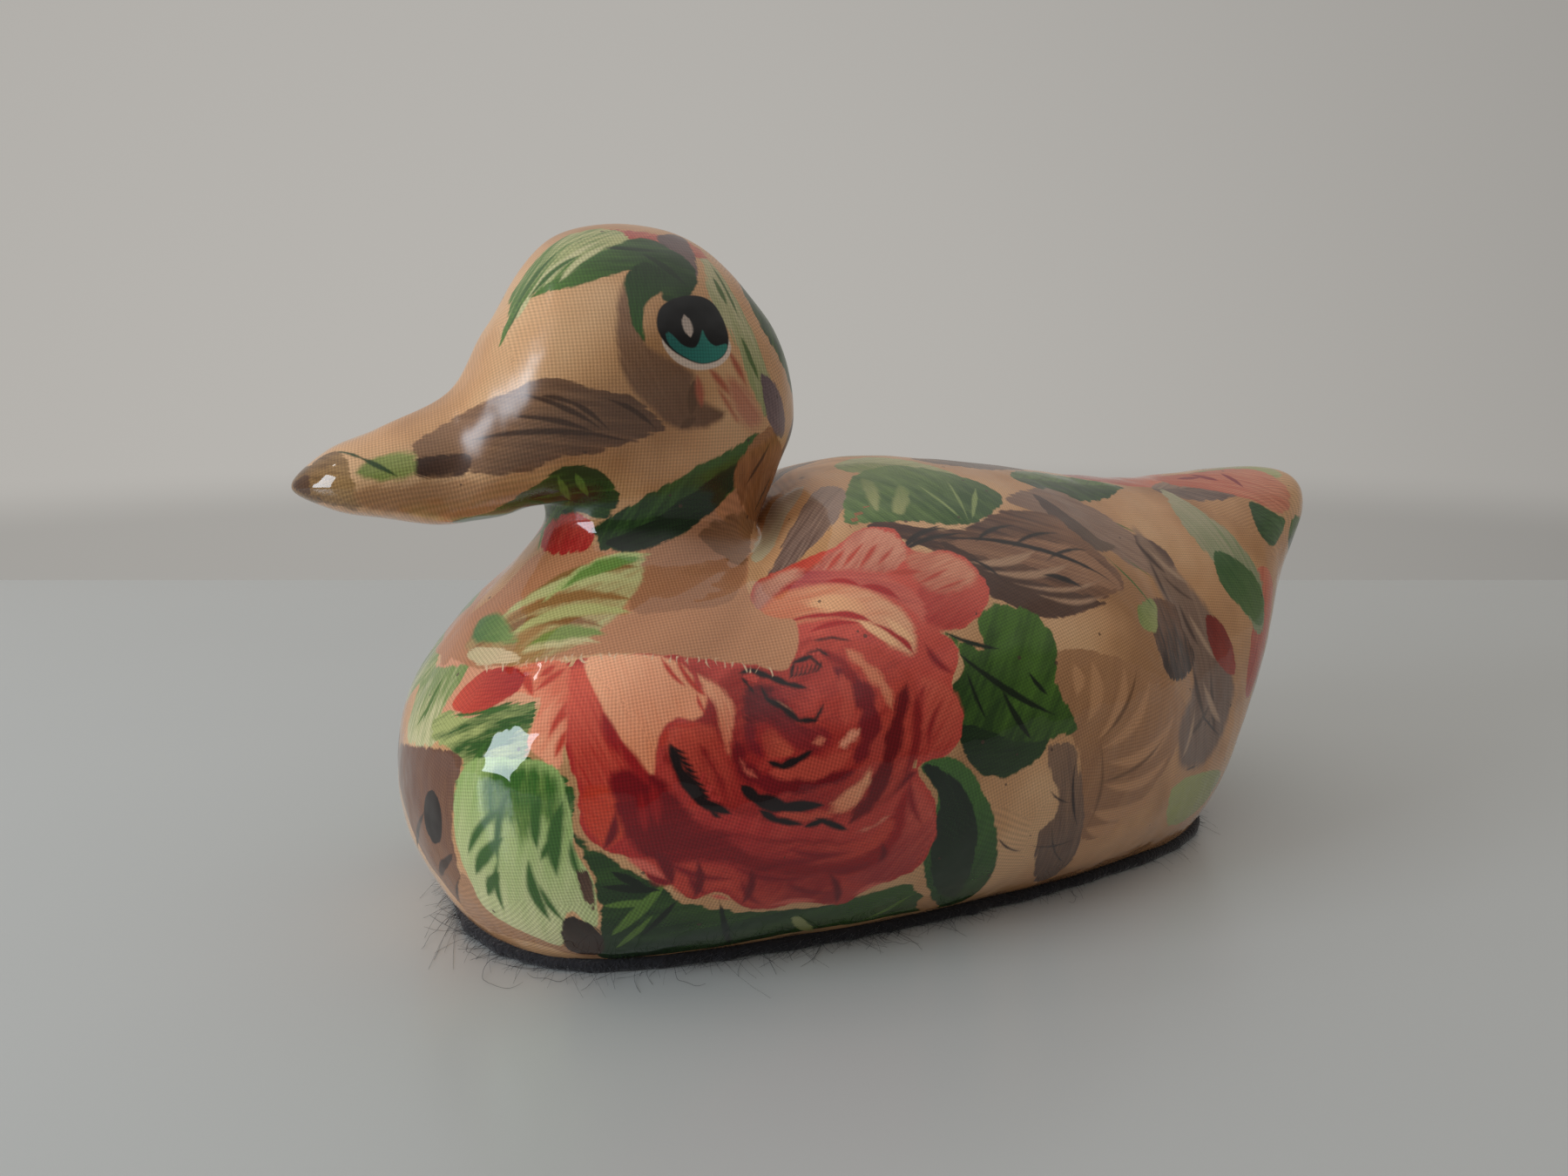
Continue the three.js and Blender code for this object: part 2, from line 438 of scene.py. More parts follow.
class Painter:
    """Gathers the motifs in the order in which they are laid over each other."""

    def __init__(self, skin):
        self.skin = skin
        self.motifs = []
        self.slide = 0.0
        self.soft = 0.3
        self.random = np.random.default_rng(11)

    def lay(self, kind, root, tip, width, near, far, both=True, **style):
        """A motif between two places on the skin, and its like on the duck's other side."""
        style.setdefault("seed", int(self.random.integers(1, 400)))
        style.setdefault("soft", self.soft)
        motif = Motif(kind, root, tip, width, near, far, **style)
        self.motifs.append(motif)
        if both:
            self.motifs.append(motif.mirror_copy(self.slide))

    def put(self, kind, root, tip, width, near, far, **style):
        """A motif between two pixels of the photograph."""
        self.lay(kind, self.skin.seen(root), self.skin.seen(tip), width, near, far, **style)

    def shape(self, outline, near, far, root=None, tip=None, **style):
        """A shape within an outline of pixels, shaded from its root to its tip."""
        root = self.skin.seen(root or outline[0])
        tip = self.skin.seen(tip or outline[len(outline) // 2])
        places = np.array([self.skin.seen(pixel)[0] for pixel in outline])
        self.lay("shape", root, tip, 10, near, far, outline=places, **style)

    def strokes(self, ends, width, colour, **style):
        """Several pointed strokes of one colour, each from x, y to x, y."""
        for x0, y0, x1, y1 in ends:
            self.stroke((x0, y0), (x1, y1), width * self.random.uniform(0.45, 0.75), colour, **style)

    def curl(self, path, width, colour, **style):
        """One curved line through several pixels, in overlapping strokes, fullest in the middle."""
        last = len(path) - 1
        for k, ((x0, y0), (x1, y1)) in enumerate(zip(path, path[1:])):
            back = 0.3 if k > 0 else 0.0
            ahead = 0.3 if k < last - 1 else 0.0
            start = (x0 - back * (x1 - x0), y0 - back * (y1 - y0))
            end = (x1 + ahead * (x1 - x0), y1 + ahead * (y1 - y0))
            fullness = 0.6 + 0.4 * math.sin(math.pi * (k + 0.5) / last)
            self.stroke(start, end, width * fullness * CURL_SHARE, colour, **style)

    def stroke(self, root, tip, width, colour, **style):
        """A pointed brush stroke."""
        style.setdefault("streak", 0.2)
        self.put("stroke", root, tip, width, colour, colour, **style)

    def oval(self, root, tip, width, near, far, **style):
        """A painted oval."""
        style.setdefault("streak", 0.0)
        self.put("oval", root, tip, width, near, far, **style)


def print_hidden(p):
    """Plainer leaves and petals where the photograph doesn't reach: nape, spine, tail and stern."""
    green = (0x24451D, 0x5F8A3C)
    brown = (0x5C4636, 0x947658)
    pink = (0xB0483C, 0xDC8E70)
    pale = (0x86A060, 0xBCCB98)
    grey = (0x6E5E57, 0xA08E7C)
    for root, tip, width, colours, veins in (
        ((8, -26, 116), (13, -13, 94), 14, green, 0.8), ((2, -32, 121), (3, -18, 104), 9, pink, 0),
        ((12, -18, 90), (5, -12, 80), 12, brown, 0.6), ((2, -16, 98), (3, -13, 84), 8, pale, 0),
        ((4, -6, 80), (16, 16, 80), 15, pale, 0.5), ((3, 12, 81), (2, 42, 80), 13, brown, 0.8),
        ((14, 30, 80), (10, 62, 77), 16, green, 0.8), ((3, 50, 79), (4, 76, 77), 11, pink, 0),
        ((10, 70, 77), (12, 100, 74), 11, grey, 0.6), ((4, 84, 76), (3, 112, 73), 9, pale, 0),
        ((14, 104, 60), (6, 118, 60), 10, green, 0.7), ((12, 100, 44), (4, 114, 54), 10, pink, 0),
        ((8, 90, 12), (6, 104, 42), 15, green, 0.8), ((24, 80, 14), (18, 92, 44), 16, brown, 0.8),
        ((30, 78, 30), (22, 90, 56), 12, pink, 0), ((4, 98, 30), (22, 84, 20), 10, pale, 0.5),
    ):
        ends = [p.skin.nearest(Vector(place) * MM) for place in (root, tip)]
        p.lay("leaf" if veins else "petal", *ends, width, *colours, veins=veins, teeth=0.12 if veins else 0,
              streak=0.6)


def print_back(p):
    """Leaves, stems and faint shapes printed on the back, tail and rear flank."""
    p.shape([(1215, 745), (1270, 750), (1340, 780), (1362, 815), (1345, 870), (1300, 930), (1250, 965),
             (1228, 940), (1240, 880), (1215, 820), (1203, 780)], 0xA07A55, 0xB58F66, root=(1230, 950),
            tip=(1300, 760), streak=0.6)
    p.strokes([(1258, 850, 1290, 762), (1262, 860, 1320, 775), (1270, 875, 1350, 815),
               (1265, 900, 1345, 860), (1250, 930, 1330, 905), (1245, 950, 1295, 940),
               (1248, 830, 1252, 756), (1236, 800, 1232, 760)], 6.0, 0xC79F74, bend=0.14, soft=1.0)
    p.strokes([(1244, 955, 1262, 850), (1262, 850, 1305, 768), (1256, 900, 1340, 840)], 2.6, 0x80603F,
              bend=0.08, soft=0.6)
    p.shape([(1198, 862), (1235, 855), (1243, 900), (1243, 960), (1215, 1003), (1186, 1012), (1188, 965),
             (1215, 925)], 0x6B584C, 0x8E765F, root=(1200, 1005), tip=(1220, 860), streak=0.8)
    p.strokes([(1203, 903, 1230, 922), (1236, 868, 1237, 950), (1182, 970, 1236, 962),
               (1145, 960, 1175, 977), (1208, 940, 1222, 990)], 1.3, 0x3A2E2A, bend=0.1)
    p.shape([(1345, 905), (1385, 885), (1402, 888), (1375, 930), (1340, 948)], LEAF_LIGHT, 0x9DB27A)
    p.shape([(862, 700), (880, 660), (905, 610), (940, 560), (975, 565), (960, 600), (920, 640), (890, 680)],
             0x6E5E57, 0xA59384, root=(870, 690), tip=(960, 565), streak=0.9)
    p.shape([(862, 640), (880, 590), (905, 565), (925, 560), (900, 600), (880, 640)], 0xC9CBA8, GREY_PALE)
    p.shape([(966, 598), (972, 560), (985, 543), (1030, 534), (1085, 542), (1130, 556), (1152, 572),
             (1138, 592), (1108, 604), (1050, 600), (1000, 602)], 0x39602A, 0x6F9450, root=(1110, 604),
            tip=(1000, 540), streak=0.9)
    p.strokes([(1108, 600, 1050, 555), (1112, 598, 1085, 550), (1116, 596, 1120, 560)], 1.8, 0x8FAE6C)
    p.shape([(986, 548), (1008, 556), (1012, 582), (1004, 588), (992, 570)], 0x7E9A58, 0xA5B47A, soft=0.8)
    p.shape([(1030, 556), (1046, 566), (1040, 590), (1022, 586)], 0x7E9A58, 0xA0B076, soft=0.8)
    p.shape([(1152, 572), (1200, 560), (1250, 580), (1300, 612), (1350, 650), (1345, 668), (1300, 650),
             (1240, 612), (1190, 590)], 0x8C7565, 0xA8917D, root=(1160, 570), tip=(1340, 655), streak=1.0)
    p.shape([(1185, 566), (1225, 590), (1262, 618), (1290, 632), (1240, 630), (1210, 600)], 0x55453F,
            0x75624F)
    p.shape([(1300, 612), (1330, 625), (1350, 650), (1330, 650), (1312, 635)], 0x5C4A45, 0x7A675B)
    p.shape([(998, 611), (1003, 598), (1060, 604), (1110, 604), (1150, 585), (1205, 590), (1240, 615),
             (1283, 655), (1290, 678), (1262, 690), (1242, 704), (1205, 711), (1165, 698), (1128, 680),
             (1092, 655), (1060, 628)], 0x4A3026, 0x8E6C50, root=(1010, 605), tip=(1285, 680), streak=0.9)
    p.shape([(1085, 622), (1150, 616), (1215, 622), (1262, 645), (1288, 676), (1240, 672), (1180, 650),
             (1125, 640)], 0x8A6850, 0xAC8868, root=(1090, 625), tip=(1285, 675), streak=0.9)
    p.shape([(1078, 620), (1130, 643), (1190, 668), (1270, 690), (1240, 704), (1205, 711), (1160, 696),
             (1120, 672)], 0x4A3226, 0x5E4534, root=(1085, 622), tip=(1240, 700), streak=0.5)
    p.strokes([(1110, 645, 1190, 630), (1130, 655, 1230, 645), (1160, 668, 1265, 664),
               (1190, 682, 1270, 682)], 3.4, 0xB4987C, bend=0.10, soft=0.7)
    p.strokes([(1027, 640, 1110, 612), (1030, 640, 1080, 603), (1110, 640, 1150, 665),
               (1195, 660, 1245, 676), (1040, 622, 1090, 606), (1120, 622, 1165, 603),
               (1160, 630, 1215, 612), (1200, 645, 1250, 632)], 2.4, 0x2A211C, bend=-0.08, soft=0.4)
    p.strokes([(1070, 618, 1284, 674)], 2.6, 0x241B17, bend=-0.06, soft=0.4)
    p.shape([(1296, 600), (1340, 640), (1385, 690), (1412, 750), (1418, 800), (1400, 855), (1378, 885),
             (1352, 882), (1352, 830), (1368, 780), (1345, 715), (1315, 650)], 0x7A675A, 0x9C8874,
            root=(1380, 880), tip=(1310, 610), streak=0.6, soft=2.0)
    p.strokes([(1300, 618, 1340, 660), (1318, 640, 1348, 700), (1352, 690, 1378, 745),
               (1368, 760, 1384, 830), (1390, 770, 1396, 850), (1360, 850, 1392, 800),
               (1330, 655, 1372, 690)], 3.6, 0x55443A, bend=0.08, soft=0.9)
    p.strokes([(1312, 625, 1368, 672), (1362, 700, 1398, 760), (1380, 780, 1402, 830),
               (1356, 872, 1372, 810)], 4.0, 0xB8A48C, bend=0.08, soft=0.9)
    p.shape([(1318, 690), (1345, 690), (1358, 720), (1372, 760), (1350, 785), (1330, 750)], 0x3E3029,
            0x80624A, root=(1350, 780), tip=(1325, 690), streak=1.0)
    p.shape([(1305, 695), (1325, 688), (1328, 725), (1310, 720)], 0x88A05A, LEAF_LIGHT)
    p.strokes([(1265, 635, 1330, 705), (1290, 640, 1325, 665), (1280, 600, 1305, 612)], 1.2, 0x4C7A35)
    p.strokes([(1378, 820, 1400, 845), (1360, 885, 1375, 878)], 1.4, 0x3A3030)
    p.shape([(1384, 706), (1400, 712), (1416, 745), (1418, 775), (1402, 768), (1388, 740)], 0x7E2A20,
            0xA84430)
    p.shape([(1330, 560), (1370, 580), (1420, 620), (1450, 670), (1448, 730), (1425, 700), (1395, 650),
             (1355, 600)], 0x8EA57C, 0xB3B99A, root=(1445, 720), tip=(1340, 565), streak=1.0)
    p.shape([(1393, 632), (1425, 645), (1450, 680), (1448, 720), (1425, 700), (1400, 668)], 0x3F6B38,
            0x648A52)
    p.shape([(1433, 575), (1462, 588), (1476, 600), (1462, 628), (1444, 610)], 0x2E5228, 0x5A8450)
    p.shape([(1320, 548), (1370, 536), (1430, 538), (1470, 552), (1482, 575), (1470, 592), (1435, 574),
             (1385, 562), (1345, 557)], 0xC06A52, 0xD99A7C, root=(1340, 550), tip=(1475, 580), streak=1.0,
            both=False)
    p.strokes([(1365, 545, 1400, 552), (1400, 543, 1428, 560), (1350, 550, 1378, 548)], 3.0, 0x8E2C34,
              both=False)


def print_breast(p):
    """Leaves low round the breast and flank, the big rose, and leaves over its edge."""
    p.shape([(505, 760), (560, 745), (640, 750), (650, 800), (560, 830), (500, 850), (490, 800)], 0xD8A07E,
            0xE0B08C)
    p.shape([(468, 852), (474, 810), (488, 770), (512, 764), (540, 764), (512, 808), (500, 855)], 0x7C9C58,
            LEAF_PALE, root=(500, 770), tip=(470, 850), streak=1.2)
    p.strokes([(510, 775, 485, 830), (500, 800, 478, 835)], 2.2, LEAF_GREEN)
    p.shape([(458, 856), (500, 858), (532, 868), (524, 905), (520, 950), (530, 1005), (548, 1045),
             (600, 1072), (560, 1066), (505, 1020), (472, 950)], 0x6E5040, 0x8A6A50, root=(500, 860),
            tip=(550, 1050), streak=0.7)
    p.oval((498, 968), (498, 908), 6.5, 0x1E1714, 0x241B17, both=False)
    p.strokes([(488, 930, 480, 975), (510, 985, 500, 1010), (520, 980, 505, 1000), (528, 1005, 526, 1035)],
              2.6, 0x3A2B24, both=False)
    p.shape([(530, 1000), (560, 1040), (620, 1068), (690, 1088), (690, 1100), (620, 1084), (560, 1066),
             (530, 1040)], 0xB08C68, 0xBE9A74)
    p.shape([(655, 955), (700, 982), (745, 1008), (800, 1036), (900, 1044), (960, 1036), (1040, 1012),
             (1062, 1030), (1100, 1048), (1060, 1066), (900, 1094), (760, 1106), (690, 1100), (688, 1060),
             (680, 1010)], 0x21401C, 0x3D6629, root=(700, 1100), tip=(1080, 1010), streak=0.9)
    p.strokes([(700, 1075, 765, 1012), (705, 1090, 750, 1050), (690, 1040, 750, 1035),
               (980, 1060, 1050, 1025)], 3.2, 0x5C8638)
    p.strokes([(690, 1018, 760, 1022), (825, 1030, 838, 1085), (735, 1075, 780, 1030),
               (700, 1000, 745, 1020)], 3.0, 0x10200F)
    p.shape([(905, 1052), (925, 1055), (938, 1078), (920, 1078)], 0x9CB07C, LEAF_LIGHT)
    p.shape([(1052, 1035), (1070, 1028), (1085, 1050), (1065, 1060)], 0xC09A6C, TAN)
    p.shape([(497, 850), (497, 828), (512, 814), (545, 820), (575, 808), (618, 802), (612, 840), (608, 868),
             (630, 882), (662, 905), (655, 960), (640, 925), (600, 905), (560, 905), (540, 915), (528, 935),
             (520, 905), (530, 872)], 0x35602A, LEAF_LIGHT, root=(618, 830), tip=(500, 870), streak=1.4)
    p.strokes([(590, 812, 520, 822), (600, 830, 560, 860), (560, 850, 535, 900)], 3.4, 0x3F6E2E)
    p.shape([(555, 868), (600, 870), (640, 880), (657, 935), (662, 978), (682, 1012), (688, 1062),
             (676, 1064), (652, 1046), (648, 1086), (605, 1072), (560, 1046), (538, 1008), (522, 960),
             (521, 918), (532, 880)], 0x98BE72, 0xD8E8B4, root=(600, 880), tip=(600, 1080), streak=0.35)
    p.shape([(560, 875), (620, 872), (650, 900), (655, 950), (640, 985), (622, 950), (600, 990), (584, 950),
             (560, 950), (548, 910)], 0x3C702E, 0x7CA052, root=(600, 880), tip=(610, 990), streak=0.9,
            soft=2.2)
    p.strokes([(592, 890, 574, 1000), (578, 925, 536, 985), (580, 960, 546, 1006), (572, 985, 580, 1048),
               (622, 905, 618, 980), (648, 915, 640, 1010), (607, 985, 634, 1060), (618, 1012, 650, 1060),
               (575, 1000, 560, 1030), (640, 960, 620, 990), (655, 960, 668, 1010)], 4.4, 0x3A6A2C,
              bend=0.06, soft=0.8)
    p.shape([(660, 998), (678, 1004), (684, 1045), (672, 1035)], 0x4A372C, 0x6A5140)
    p.shape([(648, 1052), (690, 1068), (690, 1096), (650, 1090)], 0x2B211C, 0x463529)
    p.shape([(1082, 724), (1130, 745), (1118, 712), (1138, 693), (1165, 694), (1198, 712), (1213, 745),
             (1216, 790), (1238, 838), (1206, 850), (1195, 872), (1160, 892), (1128, 890), (1108, 866),
             (1100, 830), (1090, 790), (1108, 765)], 0x2A4A1C, 0x4F7E2B, root=(1110, 880), tip=(1180, 700),
            streak=0.9)
    p.shape([(1105, 862), (1100, 830), (1130, 835), (1170, 850), (1205, 850), (1192, 872), (1160, 890),
             (1126, 888)], 0x1B331A, 0x2C4C22, streak=0.5)
    p.strokes([(1098, 748, 1215, 822), (1085, 726, 1150, 745), (1150, 790, 1185, 850),
               (1110, 770, 1135, 830), (1180, 770, 1205, 800)], 2.2, 0x14260F, bend=0.05)
    p.shape([(1055, 878), (1082, 866), (1112, 880), (1136, 920), (1146, 962), (1136, 1010), (1100, 1048),
             (1070, 1034), (1058, 990), (1064, 950), (1076, 912)], 0x2C5726, 0x447534, root=(1070, 1030),
            tip=(1130, 900), streak=0.5)
    p.shape([(1056, 878), (1080, 880), (1108, 905), (1122, 945), (1118, 990), (1095, 1030), (1072, 1020),
             (1066, 985), (1072, 945), (1078, 915)], 0x16281A, 0x1F3D20, streak=0.4)
    rose(p)


def rose(p):
    """The big rose: its whole shape, petals from the rim to the heart, then pale and dark brush strokes."""
    p.shape([(650, 760), (640, 800), (648, 860), (662, 905), (666, 950), (692, 976), (722, 986), (746, 1010),
              (772, 1018), (796, 1034), (826, 1024), (850, 1040), (880, 1046), (920, 1036), (960, 1040),
             (1002, 1018), (1050, 1000), (1075, 960), (1074, 918), (1054, 882), (1096, 862), (1107, 822),
             (1094, 788), (1102, 745), (1078, 724), (1110, 720), (1137, 690), (1124, 655), (1092, 632),
             (1048, 632), (1028, 608), (990, 606), (960, 626), (905, 650), (868, 668), (858, 700),
             (852, 740), (780, 745)], 0xB0302E, 0xD45C4C, root=(760, 1000), tip=(1040, 660), streak=0.5,
            soft=0.2)
    p.shape([(556, 770), (600, 762), (652, 760), (656, 810), (650, 850), (642, 884), (614, 866), (606, 845),
             (618, 806), (598, 798)], 0xDC7A5C, 0xF0AC88, root=(655, 780), tip=(600, 850), streak=0.7)
    p.strokes([(652, 765, 612, 795), (655, 800, 628, 850), (652, 835, 636, 872), (640, 762, 618, 778),
               (600, 768, 612, 800), (655, 815, 635, 830)], 3.4, 0xC04432, soft=0.7)
    p.shape([(518, 808), (555, 770), (598, 767), (598, 790), (565, 812), (535, 820)], 0xA82A2A, 0xD25540,
            root=(600, 772), tip=(520, 812), streak=0.4)
    p.soft = 1.2
    p.shape([(650, 770), (680, 765), (705, 835), (745, 885), (775, 960), (720, 960), (672, 920), (650, 860)],
             0xB23029, 0xD8604A, root=(740, 940), tip=(665, 780), streak=0.7)
    p.shape([(662, 905), (700, 900), (735, 935), (700, 975), (668, 950)], 0xBE3A26, 0xD25238, streak=0.5)
    p.shape([(700, 880), (760, 890), (800, 935), (860, 955), (930, 960), (1000, 958), (1040, 900),
             (1050, 935), (1020, 990), (950, 1010), (880, 1006), (820, 992), (760, 995), (724, 975),
             (702, 930)], 0x7A0C18, 0xA01C1E, root=(760, 985), tip=(1030, 935), streak=0.6)
    p.shape([(722, 984), (770, 985), (830, 990), (900, 1004), (965, 1000), (960, 1038), (920, 1036),
             (880, 1046), (850, 1040), (826, 1024), (796, 1034), (746, 1010)], 0xA02628, 0xC84A3C,
            root=(900, 1000), tip=(850, 1040), streak=0.9)
    p.strokes([(750, 975, 850, 1008), (830, 985, 940, 1004), (790, 1000, 815, 1028), (850, 1005, 880, 1040),
               (900, 1010, 960, 1024), (740, 1000, 775, 1014)], 4.6, 0x861220, bend=0.12)
    p.shape([(830, 955), (900, 962), (985, 962), (1020, 935), (1030, 955), (990, 985), (930, 996),
             (860, 985)], 0xA82C2C, 0xCA4C3C, root=(880, 990), tip=(1000, 950), streak=0.7)
    p.strokes([(880, 985, 950, 982), (900, 972, 985, 976), (940, 1000, 1010, 985)], 3.6, 0x8A1420, bend=0.1)
    p.strokes([(795, 1034, 800, 985), (850, 1040, 862, 995), (958, 1040, 950, 1000), (1002, 1018, 1012, 965),
                (1056, 884, 1010, 925), (772, 1018, 748, 975), (692, 976, 706, 930)], 4.2, 0x74101C,
              bend=0.1, soft=0.8)
    p.strokes([(812, 1028, 840, 1034), (880, 1040, 940, 1034), (975, 1030, 1040, 998),
               (1066, 960, 1070, 925), (715, 984, 765, 1010)], 3.4, 0xDA6E60, bend=-0.06, soft=0.8)
    p.shape([(1046, 892), (1072, 920), (1075, 960), (1050, 998), (1000, 1018), (962, 1012), (1005, 990),
             (1032, 955), (1040, 915)], 0xA63436, 0xCC5A4C, root=(1000, 1000), tip=(1072, 925), streak=0.7)
    p.shape([(1052, 770), (1098, 790), (1107, 822), (1094, 862), (1052, 878), (1028, 905), (1042, 850),
             (1060, 815)], 0xB0342E, 0xD46450, root=(1035, 890), tip=(1095, 800), streak=0.6)
    p.strokes([(1066, 780, 1050, 870), (1085, 800, 1066, 865), (1060, 735, 1098, 775),
               (1046, 885, 1062, 950)], 4.0, 0x8E1620, bend=0.12)
    p.shape([(1056, 650), (1092, 640), (1130, 665), (1136, 690), (1110, 720), (1075, 724), (1050, 700)],
            0xBA3A34, 0xD46250, root=(1060, 720), tip=(1120, 660), streak=0.5)
    p.shape([(1036, 632), (1090, 632), (1124, 655), (1122, 672), (1090, 684), (1062, 680), (1042, 660)],
            0xC86E58, 0xE2A284, root=(1040, 680), tip=(1105, 645), streak=0.8, soft=1.6)
    p.shape([(880, 680), (955, 632), (990, 606), (1028, 610), (1044, 634), (1030, 655), (985, 662),
             (930, 678)], 0xB85A4A, 0xE0A086, root=(950, 690), tip=(1012, 612), streak=0.8, soft=0.8)
    p.strokes([(945, 660, 972, 628), (965, 655, 992, 622), (985, 655, 1008, 622), (1005, 652, 1026, 628),
               (1020, 658, 1060, 656), (1050, 672, 1090, 652), (1070, 680, 1110, 664)], 2.6, 0xC24A38,
              soft=0.6)
    p.shape([(866, 700), (905, 655), (960, 650), (1010, 655), (1050, 676), (1066, 700), (1060, 722),
             (1040, 700), (990, 680), (930, 680)], 0xB04244, 0xD8705E, root=(880, 690), tip=(1050, 700),
            streak=0.7)
    p.shape([(855, 706), (866, 668), (905, 650), (930, 654), (900, 680), (876, 706)], 0xB98474, 0xD8A890,
            root=(862, 700), tip=(915, 655), streak=0.6, soft=1.6)
    p.shape([(866, 712), (885, 684), (925, 670), (970, 668), (1010, 680), (1045, 704), (1056, 735),
             (1050, 756), (1020, 745), (992, 722), (950, 712), (905, 722)], 0xD6845E, 0xEAB48C,
            root=(880, 720), tip=(1030, 700), streak=0.5)
    p.shape([(915, 690), (960, 680), (1000, 695), (985, 708), (945, 704)], 0xEEC08E, 0xE8B084, streak=0.3)
    p.strokes([(900, 716, 965, 708), (940, 708, 1005, 716), (985, 716, 1040, 740), (945, 668, 990, 674),
               (985, 672, 1035, 690), (1020, 726, 1050, 752), (925, 728, 990, 716)], 3.0, 0xB02424,
              bend=-0.10, soft=0.5)
    p.strokes([(985, 712, 1035, 744), (1015, 708, 1050, 738)], 3.2, 0xF6C898, soft=0.5)
    heart(p)
    p.shape([(668, 758), (700, 750), (762, 752), (795, 772), (800, 792), (814, 800), (804, 828), (778, 826),
             (760, 840), (754, 868), (750, 892), (726, 870), (703, 838), (684, 800)], 0xE8986E, 0xF4BC94,
            root=(755, 880), tip=(700, 755), streak=0.25, soft=0.5)
    p.strokes([(758, 752, 790, 790), (775, 752, 812, 800), (800, 795, 812, 822), (770, 830, 806, 830),
               (756, 860, 766, 835)], 2.6, 0xC23E2C, soft=0.5, bend=0.08)
    p.strokes([(706, 845, 748, 905), (690, 815, 712, 870), (748, 895, 756, 950), (735, 905, 742, 960)], 4.0,
              0x9C1C20, soft=1.0)
    p.soft = 0.3


